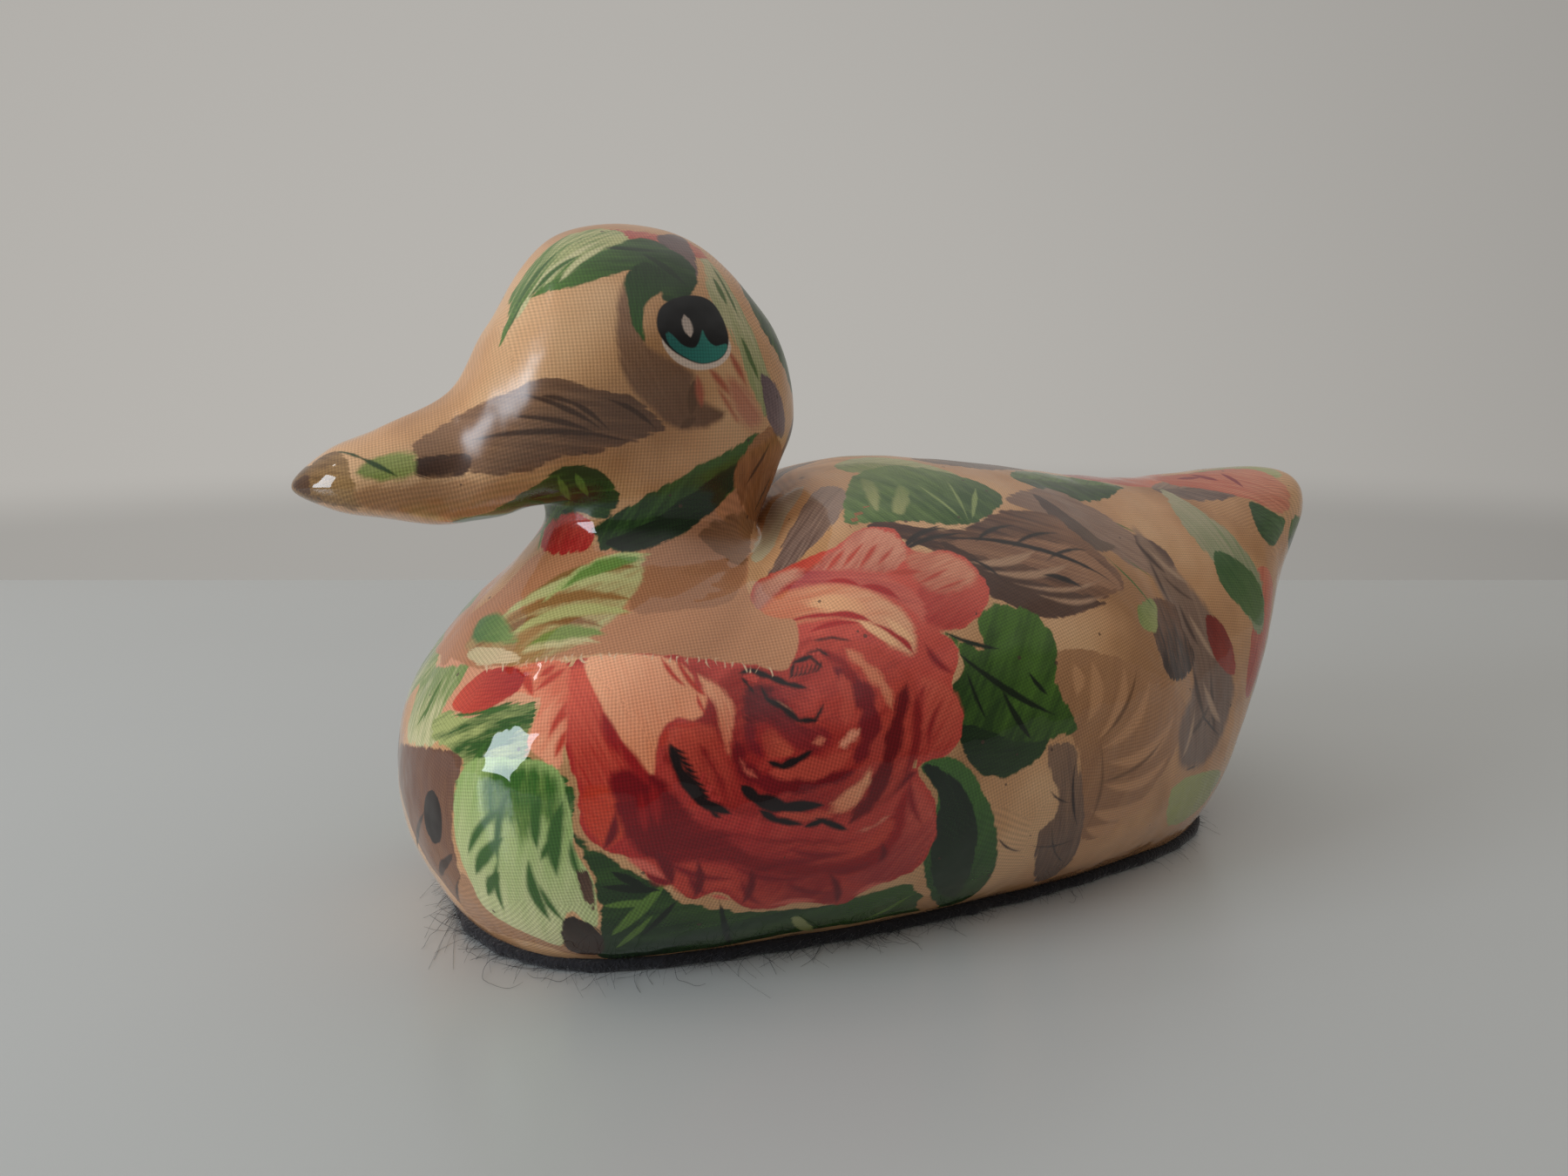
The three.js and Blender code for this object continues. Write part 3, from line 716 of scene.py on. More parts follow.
def heart(p):
    """The curled petals at the middle of the rose, with their pale rims and inked folds."""
    p.shape([(905, 735), (950, 725), (1000, 735), (1045, 765), (1062, 815), (1052, 870), (1020, 925),
             (960, 948), (890, 948), (830, 935), (780, 905), (756, 860), (785, 825), (830, 770), (860, 760)],
             0x982422, 0xC44C3C, root=(880, 900), tip=(1030, 780), streak=0.7)
    p.shape([(758, 846), (785, 826), (815, 828), (834, 850), (850, 895), (865, 930), (820, 925), (785, 900)],
             0xA02A26, 0xCC5440, root=(840, 925), tip=(790, 828), streak=0.5)
    p.shape([(800, 768), (826, 785), (846, 812), (842, 850), (840, 876), (826, 850), (820, 815), (806, 795)],
             0xD8785A, 0xECB088, root=(838, 868), tip=(806, 775), streak=0.5, soft=0.7)
    p.shape([(852, 786), (880, 782), (905, 795), (918, 826), (948, 830), (962, 850), (944, 864), (915, 866),
             (898, 850), (880, 832), (866, 842), (858, 868), (850, 830)], 0x641019, 0x8C2428,
            root=(858, 800), tip=(950, 855), streak=0.6, soft=1.2)
    p.shape([(868, 840), (884, 834), (902, 848), (914, 864), (896, 874), (878, 868)], 0x9E342A, 0xC45A42,
            streak=0.6, soft=0.8)
    p.shape([(884, 800), (905, 808), (920, 820), (938, 812), (944, 796), (932, 784), (908, 782), (890, 786)],
             0x8E2224, 0xC04A3C, root=(890, 790), tip=(935, 810), streak=0.6, soft=0.6)
    for path, width, colour in (
        ([(845, 846), (850, 878), (872, 898), (905, 903), (942, 898), (986, 884)], 6.5, 0x74101A),
        ([(860, 826), (862, 850), (876, 870)], 5.0, 0x7A1620),
        ([(955, 764), (982, 784), (998, 815), (998, 850), (980, 880)], 8.0, 0x7C1A22),
        ([(1042, 780), (1030, 830), (1018, 875), (1002, 915), (972, 948)], 7.0, 0x6E0C14),
        ([(1052, 790), (1052, 850), (1036, 900)], 5.0, 0x8E2020),
        ([(940, 746), (968, 762), (985, 790)], 5.0, 0x92201E),
        ([(880, 886), (915, 886), (950, 880), (978, 862)], 7.0, 0xBC4C3C),
        ([(964, 772), (974, 800), (970, 836)], 6.0, 0xC04E3E),
        ([(1012, 840), (1004, 872), (984, 902)], 6.0, 0xB4443A),
        ([(968, 742), (992, 764), (1014, 786), (1026, 818)], 5.0, 0xDA8866),
        ([(848, 868), (856, 884), (872, 895)], 2.6, 0xCC6654),
        ([(890, 934), (925, 938), (960, 936)], 5.0, 0xC0503E),
        ([(978, 957), (1002, 949), (1024, 934)], 2.4, 0xDC957A),
        ([(962, 860), (974, 849), (988, 836)], 5.0, 0xE39C7E),
        ([(932, 853), (950, 848)], 3.6, 0xD07A60),
        ([(800, 850), (820, 884), (836, 915)], 3.6, 0x8E2020),
        ([(768, 764), (778, 778), (784, 790)], 2.4, 0xB4402E),
        ([(784, 762), (808, 774), (832, 790)], 2.8, 0xB03A30),
    ):
        p.curl(path, width, colour, streak=0.6, soft=1.0)
    p.shape([(946, 930), (962, 912), (986, 894), (1000, 878), (1002, 896), (988, 920), (968, 936)], 0xDA8A66,
             0xE8AC84, root=(950, 934), tip=(1000, 884), streak=0.5, soft=0.8)
    p.curl([(888, 803), (902, 811), (915, 822)], 1.4, 0xEAB890)
    for path, width in (
        ([(846, 774), (862, 769), (884, 777), (904, 785), (928, 790)], 2.6),
        ([(850, 776), (859, 787), (867, 797)], 2.0),
        ([(872, 785), (881, 803), (899, 813), (917, 827), (936, 827), (947, 806)], 2.4),
        ([(880, 874), (898, 880), (916, 872), (934, 861)], 3.0),
        ([(850, 901), (868, 917), (900, 926), (948, 924)], 4.6),
        ([(870, 929), (890, 941), (924, 947)], 2.8),
        ([(922, 950), (944, 942), (976, 954)], 3.0),
        ([(768, 851), (780, 885), (806, 921), (842, 935)], 4.0),
        ([(906, 780), (912, 760), (930, 754), (946, 768)], 2.2),
        ([(924, 750), (940, 746), (954, 755)], 1.5),
        ([(930, 736), (955, 732), (980, 736)], 1.5),
    ):
        p.curl(path, width, 0x1C1214, soft=0.5)
    for k in range(11):
        x, y = 768 + 4.6 * k, 854 + 7.4 * k
        p.stroke((x, y), (x + 22 - 0.6 * k, y + 11), 1.0, 0x1C1214, bend=0.1, soft=0.4)
    for k in range(7):
        p.stroke((904 + 5 * k, 782 - 1.5 * k), (910 + 5.5 * k, 762 - k), 0.9, 0x241418, bend=0.15, soft=0.4)


def print_neck(p):
    """The neck patch, its light green streaks and its frayed lower edge."""
    p.shape([(500, 745), (560, 690), (610, 640), (650, 625), (720, 625), (790, 590), (858, 560), (862, 620),
             (860, 678), (880, 705), (918, 716), (906, 768), (870, 766), (800, 757), (700, 752), (640, 757),
             (560, 768), (530, 762)], 0xB88660, 0xC6966E, root=(600, 760), tip=(800, 620), streak=0.4)
    p.shape([(722, 700), (745, 625), (800, 600), (850, 600), (858, 650), (840, 690), (790, 700)], 0xA87C5A,
            0xB68A66, root=(730, 690), tip=(840, 610), streak=0.3)
    p.shape([(800, 612), (845, 588), (868, 595), (862, 630), (852, 650), (825, 636)], 0x84603F, 0x9B7650,
            streak=0.6)
    p.shape([(532, 745), (545, 725), (570, 708), (620, 690), (660, 664), (690, 640), (735, 634), (742, 650),
             (732, 680), (700, 718), (660, 745), (600, 765), (550, 762)], 0xA88A5A, 0xBCC48A,
            root=(560, 755), tip=(735, 640), streak=0.7, soft=0.8)
    for start, end, colour in (
        ((540, 748), (700, 722), 0x8C6A40), ((560, 730), (735, 690), 0x9A7848),
        ((575, 712), (742, 652), 0x8E7040), ((560, 722), (742, 668), 0xC0CC8E),
        ((575, 738), (728, 704), 0xB8C482), ((620, 694), (748, 636), 0xB4CC84),
        ((640, 680), (742, 642), 0x6E9A4C), ((590, 754), (690, 738), 0xC8C894),
        ((600, 745), (700, 730), 0x7E9A50),
    ):
        p.stroke(start, end, 3.6, colour, bend=-0.10, streak=0.6, soft=0.8)
    p.shape([(540, 738), (548, 712), (572, 700), (588, 716), (600, 742), (575, 742)], 0x4E7E40, 0x7A9E58,
            soft=1.2)
    p.shape([(535, 748), (560, 742), (592, 748), (596, 760), (550, 764)], 0xC9C79C, 0xD9CBA4)
    for k in range(34):
        x = 556 + 10.2 * k
        y = 765 - 15 * math.sin(math.pi * k / 34) + 8 * (k / 34) ** 3
        p.stroke((x, y - 3), (x + p.random.uniform(-7, 7), y + p.random.uniform(3, 10)), 0.5, 0xDCC6A4,
                 soft=0.1, bend=p.random.uniform(-0.3, 0.3))
    p.shape([(618, 588), (650, 584), (678, 596), (682, 622), (660, 636), (622, 632)], 0xB03230, 0xCB5547,
            root=(640, 632), tip=(650, 588), streak=0.8)


def print_head(p):
    """Leaves over the crown, cheek, nape and bill, and painted shade on the cheek below the eye."""
    # Painted shade: a soft darker brown patch on the cheek below the eye, on both sides
    p.shape([(712, 322), (726, 330), (730, 352), (745, 392), (770, 408), (800, 426), (800, 450), (826, 466),
             (838, 474), (818, 492), (778, 496), (745, 474), (716, 440), (704, 400), (704, 352)], 0x765A42,
            0x94765A, root=(800, 490), tip=(712, 330), streak=0.3, soft=1.2)
    p.strokes([(797, 435, 793, 478), (800, 478, 780, 492)], 3.0, 0x6A5038)
    p.shape([(476, 506), (540, 468), (600, 442), (636, 430), (676, 444), (720, 452), (748, 470), (764, 492),
             (745, 502), (700, 518), (640, 528), (596, 545), (530, 542), (480, 524)], 0x6C533F, 0x927457,
            root=(750, 495), tip=(520, 480), streak=0.8)
    p.strokes([(598, 452, 692, 494), (585, 478, 690, 500), (640, 455, 700, 495), (696, 458, 754, 494),
               (540, 506, 728, 508), (620, 455, 660, 465)], 1.9, 0x4C392B, bend=-0.08)
    p.shape([(478, 526), (538, 520), (534, 546), (480, 549)], 0x46342A, 0x5A4435, streak=0.4)
    bill_tip = [p.skin.nearest(Vector((0, -101, height)) * MM) for height in (85, 76)]
    p.lay("oval", *bill_tip, 19, 0x6E5636, 0x8E744C, both=False, streak=0.6)
    p.shape([(336, 556), (346, 530), (372, 514), (398, 524), (410, 556), (422, 584), (380, 580), (350, 570)],
             0x6E5636, 0xA58A5C, root=(338, 556), tip=(410, 560), streak=0.8)
    p.shape([(336, 556), (342, 540), (356, 545), (358, 566), (346, 568)], 0x4E3A2C, 0x5E4835)
    p.shape([(404, 552), (470, 548), (560, 550), (620, 552), (600, 575), (540, 594), (470, 592), (415, 584)],
             0xB08A5C, 0xC09A70, root=(420, 590), tip=(560, 550), streak=0.5, soft=1.5)
    p.shape([(402, 545), (430, 522), (472, 516), (480, 528), (478, 548), (440, 556)], 0x7A9048, 0x9DAF66,
            root=(410, 545), tip=(476, 525), streak=0.6, soft=1.0)
    p.strokes([(378, 514, 420, 528), (410, 524, 458, 548)], 1.6, 0x2E4A22)
    p.shape([(518, 600), (562, 586), (615, 556), (648, 534), (690, 540), (712, 566), (706, 586), (690, 602),
             (655, 590), (605, 592), (560, 600)], 0x1F3C1A, 0x4E7A2E, root=(700, 590), tip=(560, 595),
            streak=0.9)
    p.strokes([(640, 545, 655, 575), (660, 542, 675, 570), (560, 596, 640, 580)], 2.2, 0x5E8A3A)
    p.shape([(678, 606), (720, 580), (780, 545), (832, 518), (872, 496), (868, 530), (834, 572), (800, 602),
             (760, 626), (722, 634), (690, 632), (684, 618)], 0x1E3818, 0x44702E, root=(740, 625),
            tip=(800, 535), streak=0.6)
    p.shape([(694, 622), (740, 600), (800, 560), (862, 520), (834, 572), (800, 602), (760, 626), (722, 634)],
             0x0F1C0E, 0x1F3A1A, streak=0.5)
    p.shape([(845, 530), (880, 490), (893, 500), (890, 560), (868, 600), (850, 580)], 0x96693F, 0xAE8256,
            root=(860, 595), tip=(885, 495), streak=0.9)
    p.strokes([(855, 560, 885, 505), (865, 590, 888, 540)], 1.6, 0x5A4026)
    p.shape([(800, 288), (830, 318), (856, 362), (880, 420), (892, 470), (876, 480), (862, 445), (842, 392),
             (812, 340)], 0x9FB07C, 0xC4CBA2, root=(885, 470), tip=(805, 292), streak=1.3)
    p.strokes([(812, 300, 850, 370), (850, 385, 872, 440), (818, 318, 835, 352)], 2.4, 0x57773F)
    p.shape([(872, 430), (890, 440), (902, 480), (896, 505), (880, 480)], 0x6C5F66, 0x8A7C80)
    p.shape([(830, 425), (862, 440), (880, 486), (856, 500), (834, 470)], 0xC08468, 0xC9957A, streak=0.6,
            soft=2.5)
    p.strokes([(812, 420, 840, 455), (835, 400, 858, 445), (800, 428, 806, 470), (820, 440, 850, 490)], 3.4,
              0xB0674E, soft=1.0)
    p.shape([(690, 264), (730, 248), (790, 262), (812, 288), (800, 296), (765, 280), (735, 284)], 0xB05048,
            0xCB7C66, root=(740, 285), tip=(770, 255), streak=1.0, both=False)
    p.shape([(752, 272), (782, 272), (800, 300), (800, 322), (775, 300)], 0x5C4A4C, 0x7C6A68)
    p.shape([(578, 338), (600, 304), (640, 276), (692, 262), (730, 276), (704, 300), (662, 322), (640, 334),
             (606, 344), (586, 376), (572, 398), (584, 356)], 0x55823A, 0xB7C58C, root=(600, 350),
            tip=(700, 265), streak=1.4)
    p.shape([(606, 344), (650, 312), (690, 290), (735, 272), (775, 288), (800, 312), (798, 334), (782, 346),
             (762, 346), (756, 334), (738, 350), (742, 396), (726, 372), (722, 345), (728, 312), (700, 318),
             (662, 330), (636, 334)], 0x24451D, 0x4F7E33, root=(780, 330), tip=(620, 340), streak=0.5)
    p.shape([(716, 318), (740, 300), (768, 318), (756, 338), (742, 350), (740, 372), (744, 394), (728, 378),
             (720, 348)], 0x1F3C1A, 0x38642A, root=(740, 300), tip=(740, 390), streak=0.3)
    p.strokes([(600, 352, 655, 292), (612, 340, 672, 284), (622, 332, 690, 276), (590, 370, 612, 335),
               (640, 326, 700, 280)], 3.4, 0xC4CF9E, soft=0.6)
    p.strokes([(588, 360, 640, 290), (605, 345, 668, 292), (650, 318, 712, 282), (580, 385, 600, 345)], 3.0,
              0x3C6A2C, soft=0.5)
    p.strokes([(690, 285, 760, 290), (735, 290, 790, 330)], 2.6, 0x1A3416)


def paint_eyes(p):
    """The painted eyes: white rim, black eye, teal iris in two peaks and a pale glint."""
    for outline, colour, rim in (
        ([(759, 390), (772, 372), (800, 366), (834, 386), (839, 404), (826, 420), (800, 425), (774, 414)],
         EYE_WHITE, 0xE6E1D6),
        ([(754, 376), (757, 354), (775, 342), (800, 339), (820, 349), (834, 376), (836, 398), (826, 413),
          (804, 418), (781, 409), (764, 395)], EYE_BLACK, EYE_BLACK),
        ([(764, 380), (772, 384), (784, 396), (797, 399), (803, 390), (806, 377), (811, 388), (821, 397),
          (834, 394), (834, 403), (824, 413), (804, 417), (781, 407), (767, 394)], EYE_TEAL, 0x2E8A80),
    ):
        p.shape(outline, colour, rim, streak=0.0, soft=0.15)
    p.oval((785, 361), (793, 387), 2.1, EYE_GLINT, 0xC9C4BB)


def printed_layers(piece):
    """Works out which motifs lie over each face, and stores them on the face corners."""
    painter = Painter(Skin(piece))
    painter.slide = SLIDE
    print_hidden(painter)
    print_back(painter)
    print_breast(painter)
    painter.slide = 0.0
    print_neck(painter)
    print_head(painter)
    paint_eyes(painter)
    motifs = painter.motifs
    mesh = piece.data
    places, normals = vertex_arrays(piece)
    corner_vertex, first, sizes = corner_arrays(mesh)
    face_of = np.repeat(np.arange(len(sizes)), sizes)
    stack = np.full((len(sizes), LAYERS), -1)
    for number, motif in enumerate(motifs):
        near = np.flatnonzero(np.linalg.norm(places - np.array(motif.root), axis=1) < motif.reach)
        depth = np.full(len(places), OUTSIDE)
        depth[near] = motif.measure(places[near], normals[near])[:, 0]
        at_corner = depth[corner_vertex]
        deepest = np.maximum.reduceat(at_corner, first)
        shallowest = np.minimum.reduceat(at_corner, first)
        whole = shallowest > COVERED + motif.soft
        partly = (deepest > FRINGE) & ~whole
        stack[whole] = -1
        stack[whole, 0] = number
        rows = stack[partly]
        full = (rows >= 0).sum(axis=1) >= LAYERS
        rows[full, 1:] = np.roll(rows[full, 1:], -1, axis=1)
        rows[full, -1] = -1
        height = (rows >= 0).sum(axis=1)
        rows[np.arange(len(rows)), height] = number
        stack[partly] = rows
    near_colours = np.array([to_linear(m.near) for m in motifs])
    far_colours = np.array([to_linear(m.far) for m in motifs])
    thin = np.array([m.width / 2 / MM if m.kind == "stroke" else 0.0 for m in motifs])
    brushes = np.array([(m.streak, m.veins, m.seed * 0.37, m.soft) for m in motifs])
    brushes[:, 1] -= thin
    for layer in range(LAYERS):
        owner = stack[:, layer][face_of]
        shape = np.zeros((len(corner_vertex), 4))
        shape[:, 0] = OUTSIDE
        for number in np.unique(owner[owner >= 0]):
            mine = np.flatnonzero(owner == number)
            at = corner_vertex[mine]
            used, back = np.unique(at, return_inverse=True)
            shape[mine] = motifs[number].measure(places[used], normals[used])[back]
            shape[mine, 0] += thin[number] * np.abs(shape[mine, 2])
        store_corners(mesh, f"shape{layer}", "FLOAT_COLOR", shape)
        store_corners(mesh, f"brush{layer}", "FLOAT_COLOR", brushes[owner] * (owner >= 0)[:, None])
        for name, values in (("near", near_colours), ("far", far_colours)):
            store_corners(mesh, f"{name}{layer}", "FLOAT_VECTOR", values[owner] * (owner >= 0)[:, None])


def store_corners(mesh, name, kind, values):
    """Keeps one value for each face corner, for the material to read."""
    attribute = mesh.attributes.new(name, kind, "CORNER")
    field = "color" if kind == "FLOAT_COLOR" else "vector"
    attribute.data.foreach_set(field, values.astype(np.float32).ravel())


def pasted_patches(piece, patch_size):
    """Splits the skin into pasted pieces of cotton, each with threads in its own direction."""
    mesh = piece.data
    rng = np.random.default_rng(29)
    places, normals = vertex_arrays(piece)
    picks = [int(rng.integers(len(places)))]
    distance = np.linalg.norm(places - places[picks[0]], axis=1)
    while distance.max() > patch_size:
        picks.append(int(np.argmax(distance * rng.uniform(0.8, 1.0, len(distance)))))
        distance = np.minimum(distance, np.linalg.norm(places - places[picks[-1]], axis=1))
    centres = places[picks]
    away = np.linalg.norm(places[:, None] - centres[None], axis=2)
    away += 2.5 * MM * ripple(places, 14 * MM, 8)[:, None] * rng.uniform(-1, 1, len(picks))[None]
    nearest = np.argsort(away, axis=1)[:, :2]
    seam = np.take_along_axis(away, nearest, axis=1)
    seam = (seam[:, 1] - seam[:, 0]) / 2 / MM
    corner_vertex, first, sizes = corner_arrays(mesh)
    patch = np.repeat(nearest[corner_vertex[first], 0], sizes)
    threads = np.zeros((len(corner_vertex), 3))
    for number, pick in enumerate(picks):
        mine = np.flatnonzero(patch == number)
        normal = normals[pick]
        level = np.cross((0, 0, 1) if abs(normal[2]) < 0.8 else (1, 0, 0), normal)
        level /= np.linalg.norm(level)
        other = np.cross(normal, level)
        turn = rng.uniform(-0.35, 0.35)
        warp = math.cos(turn) * level + math.sin(turn) * other
        weft = math.cos(turn) * other - math.sin(turn) * level
        rel = (places[corner_vertex[mine]] - centres[number]) / MM
        threads[mine, 0] = rel @ warp
        threads[mine, 1] = rel @ weft
    threads[:, 2] = seam[corner_vertex]
    store_corners(mesh, "threads", "FLOAT_VECTOR", threads)


def add(tree, kind, inputs=None, **settings):
    """Adds one node with its settings; each input is a value or an output to link."""
    made = tree.nodes.new(kind)
    for name, value in settings.items():
        setattr(made, name, value)
    for key, value in (inputs or {}).items():
        if isinstance(value, bpy.types.NodeSocket):
            tree.links.new(value, made.inputs[key])
        else:
            made.inputs[key].default_value = value
    return made


def maths_node(tree, operation, *values, clamp=False):
    """The result of one sum; each value is a number or an output."""
    made = add(tree, "ShaderNodeMath", dict(enumerate(values)), operation=operation, use_clamp=clamp)
    return made.outputs[0]


def noise(tree, place, scale, detail, roughness=0.5):
    """Smooth noise from 0 to 1 at a place."""
    inputs = {"Vector": place, "Scale": scale, "Detail": detail, "Roughness": roughness}
    return add(tree, "ShaderNodeTexNoise", inputs).outputs[0]


def smooth_step(tree, value, low, high, start=0.0, end=1.0):
    """Goes smoothly from start to end while a value goes from low to high."""
    inputs = {"Value": value, "From Min": low, "From Max": high, "To Min": start, "To Max": end}
    return add(tree, "ShaderNodeMapRange", inputs, interpolation_type="SMOOTHSTEP").outputs[0]


def mixed_colour(tree, share, first, second):
    """Goes from the first colour to the second with a share."""
    return add(tree, "ShaderNodeMix", {0: share, 6: first, 7: second}, data_type="RGBA").outputs[2]


def new_material(name):
    """An empty node material with its output."""
    material = bpy.data.materials.new(name)
    material.use_nodes = True
    material.node_tree.nodes.clear()
    return material, material.node_tree, add(material.node_tree, "ShaderNodeOutputMaterial")


def brushed_layer_group():
    """One printed layer over what is below: its edge, shading, brush streaks and leaf veins."""
    group = bpy.data.node_groups.new("brushed_layer", "ShaderNodeTree")
    face = group.interface
    for name, kind in (("Below", "Color"), ("Shape", "Vector"), ("Tone", "Float"), ("Near", "Color"),
                       ("Far", "Color"), ("Brush", "Vector"), ("Soft", "Float"), ("Wobble", "Float")):
        face.new_socket(name, in_out="INPUT", socket_type=f"NodeSocket{kind}")
    face.new_socket("Colour", in_out="OUTPUT", socket_type="NodeSocketColor")
    given = add(group, "NodeGroupInput").outputs
    shape = add(group, "ShaderNodeSeparateXYZ", {0: given["Shape"]}).outputs
    brush = add(group, "ShaderNodeSeparateXYZ", {0: given["Brush"]}).outputs
    maths = functools.partial(maths_node, group)
    off_rib = maths("ABSOLUTE", shape[2])
    thin = maths("MAXIMUM", maths("MULTIPLY", brush[1], -1.0), 0.0)
    wobble = maths("MULTIPLY", given["Wobble"], maths("MULTIPLY", brush[0], 1.5, clamp=True))
    edge = maths("SUBTRACT", maths("ADD", shape[0], wobble), maths("MULTIPLY", off_rib, thin))
    slant = maths("MULTIPLY_ADD", off_rib, -0.30, shape[1])
    lengthwise = {0: maths("MULTIPLY", shape[1], 1.6), 1: maths("MULTIPLY", shape[2], 5.5), 2: brush[2]}
    plain = add(group, "ShaderNodeCombineXYZ", lengthwise).outputs[0]
    slanting = {0: maths("MULTIPLY", slant, 9.0), 1: maths("MULTIPLY", off_rib, 1.2), 2: brush[2]}
    veinwise = add(group, "ShaderNodeCombineXYZ", slanting).outputs[0]
    leafy = maths("MULTIPLY", brush[1], 2.0, clamp=True)
    where = add(group, "ShaderNodeMix", {0: leafy, 4: plain, 5: veinwise}, data_type="VECTOR").outputs[1]
    swing = maths("SUBTRACT", noise(group, where, 1.6, 3.0, 0.6), 0.5)
    bristle = maths("MAXIMUM", maths("ADD", swing, 0.03), 0.0)
    feather = maths("MULTIPLY", bristle, maths("MULTIPLY", brush[0], 3.2))
    mask = smooth_step(group, maths("SUBTRACT", edge, feather), -0.12, maths("ADD", given["Soft"], 0.05))
    shade = maths("MULTIPLY_ADD", swing, maths("MULTIPLY", brush[0], 2.6), given["Tone"], clamp=True)
    shaded = mixed_colour(group, shade, given["Near"], given["Far"])
    beat = maths("FRACT", maths("MULTIPLY", slant, 7.0))
    off_vein = maths("ABSOLUTE", maths("SUBTRACT", beat, 0.5))
    side_vein = smooth_step(group, off_vein, 0.03, 0.13, 1.0, 0.0)
    rib = smooth_step(group, off_rib, 0.02, 0.08, 1.0, 0.0)
    faded = maths("MULTIPLY", side_vein, maths("SUBTRACT", 1.0, off_rib, clamp=True))
    vein = maths("MULTIPLY", maths("MAXIMUM", rib, faded), maths("MULTIPLY", brush[1], 0.75), clamp=True)
    darker = add(group, "ShaderNodeHueSaturation", {"Color": shaded, "Value": 0.32}).outputs[0]
    veined = mixed_colour(group, vein, shaded, darker)
    add(group, "NodeGroupOutput", {"Colour": mixed_colour(group, mask, given["Below"], veined)})
    return group


def lacquered_cotton(settings):
    """Printed plain-weave cotton pasted on wood under thick clear gloss varnish.

    The eye sees soft printed colours with a fine thread grid, and sharp, slightly wavy highlights on top.
    The varnish of the bill and brow is rubbed softer than the breast's. Real threads are 0.5 mm apart. They
    are drawn a little coarser, so that they show.
    """
    material, tree, output = new_material("lacquered_printed_cotton")
    maths = functools.partial(maths_node, tree)
    place = add(tree, "ShaderNodeTexCoord").outputs["Object"]
    ground = add(tree, "ShaderNodeValToRGB", {0: noise(tree, place, 38.0, 3.0)})
    ramp = ground.color_ramp
    ramp.elements[0].position = 0.35
    ramp.elements[0].color = (*to_linear(TAN_DARK), 1)
    ramp.elements[1].position = 0.66
    ramp.elements[1].color = (*to_linear(TAN_LIGHT), 1)
    middle = ramp.elements.new(0.5)
    middle.color = (*settings.ground, 1)
    wobble = maths("MULTIPLY", maths("SUBTRACT", noise(tree, place, 420.0, 3.0), 0.5), 1.5)
    layer_group = brushed_layer_group()
    colour = ground.outputs[0]
    for layer in range(LAYERS):
        shape = add(tree, "ShaderNodeAttribute", attribute_name=f"shape{layer}").outputs
        made = add(tree, "ShaderNodeGroup", node_tree=layer_group)
        tree.links.new(colour, made.inputs["Below"])
        tree.links.new(shape["Color"], made.inputs["Shape"])
        tree.links.new(shape["Alpha"], made.inputs["Tone"])
        tree.links.new(wobble, made.inputs["Wobble"])
        brush = add(tree, "ShaderNodeAttribute", attribute_name=f"brush{layer}").outputs
        tree.links.new(brush["Color"], made.inputs["Brush"])
        tree.links.new(brush["Alpha"], made.inputs["Soft"])
        for name in ("Near", "Far"):
            source = add(tree, "ShaderNodeAttribute", attribute_name=f"{name.lower()}{layer}").outputs
            tree.links.new(source["Vector"], made.inputs[name])
        colour = made.outputs[0]
    threads = add(tree, "ShaderNodeAttribute", attribute_name="threads").outputs["Vector"]
    thread = add(tree, "ShaderNodeSeparateXYZ", {0: threads}).outputs
    beats = 2 * math.pi / settings.thread_pitch
    warp = maths("SINE", maths("MULTIPLY", thread[0], beats))
    weft = maths("SINE", maths("MULTIPLY", thread[1], beats))
    weave = maths("MULTIPLY", maths("ADD", warp, weft), 0.5)
    strength = maths("MULTIPLY", noise(tree, threads, 0.9, 2.0), 0.42)
    tint = maths("MULTIPLY_ADD", weave, strength, 1.0)
    woven = add(tree, "ShaderNodeHueSaturation", {"Color": colour, "Value": tint}).outputs[0]
    dots = add(tree, "ShaderNodeTexVoronoi", {"Vector": place, "Scale": 300.0}, feature="F1").outputs[0]
    rare = noise(tree, place, 90.0, 1.0)
    speck = maths("MULTIPLY", maths("LESS_THAN", dots, 0.11), maths("GREATER_THAN", rare, 0.60))
    flecked = mixed_colour(tree, maths("MULTIPLY", speck, 0.75), woven, (*to_linear(BROWN_DARK), 1))
    under = add(tree, "ShaderNodeBump", {"Height": weave, "Strength": 0.25, "Distance": 0.00012}).outputs[0]
    height = maths("MULTIPLY_ADD", noise(tree, place, 300.0, 1.0), 0.07, noise(tree, place, 95.0, 2.0))
    skin = add(tree, "ShaderNodeBump", {"Height": height, "Strength": 0.7, "Distance": 0.0008}).outputs[0]
    body_place = add(tree, "ShaderNodeSeparateXYZ", {0: place}).outputs
    ahead = smooth_step(tree, body_place[1], -0.094, -0.084)
    high = smooth_step(tree, body_place[2], 0.072, 0.082)
    dulled = maths("MULTIPLY_ADD", maths("MULTIPLY", ahead, high), 0.24, 0.035)
    shader = add(tree, "ShaderNodeBsdfPrincipled", {
        "Base Color": flecked,
        "Roughness": 0.5,
        "IOR": 1.5,
        "Specular IOR Level": 0.0,
        "Normal": under,
        "Coat Weight": 1.0,
        "Coat Roughness": dulled,
        "Coat IOR": 1.5,
        "Coat Tint": (*to_linear(0xFFEDE6), 1),
        "Coat Normal": skin,
    })
    tree.links.new(shader.outputs[0], output.inputs[0])
    return material


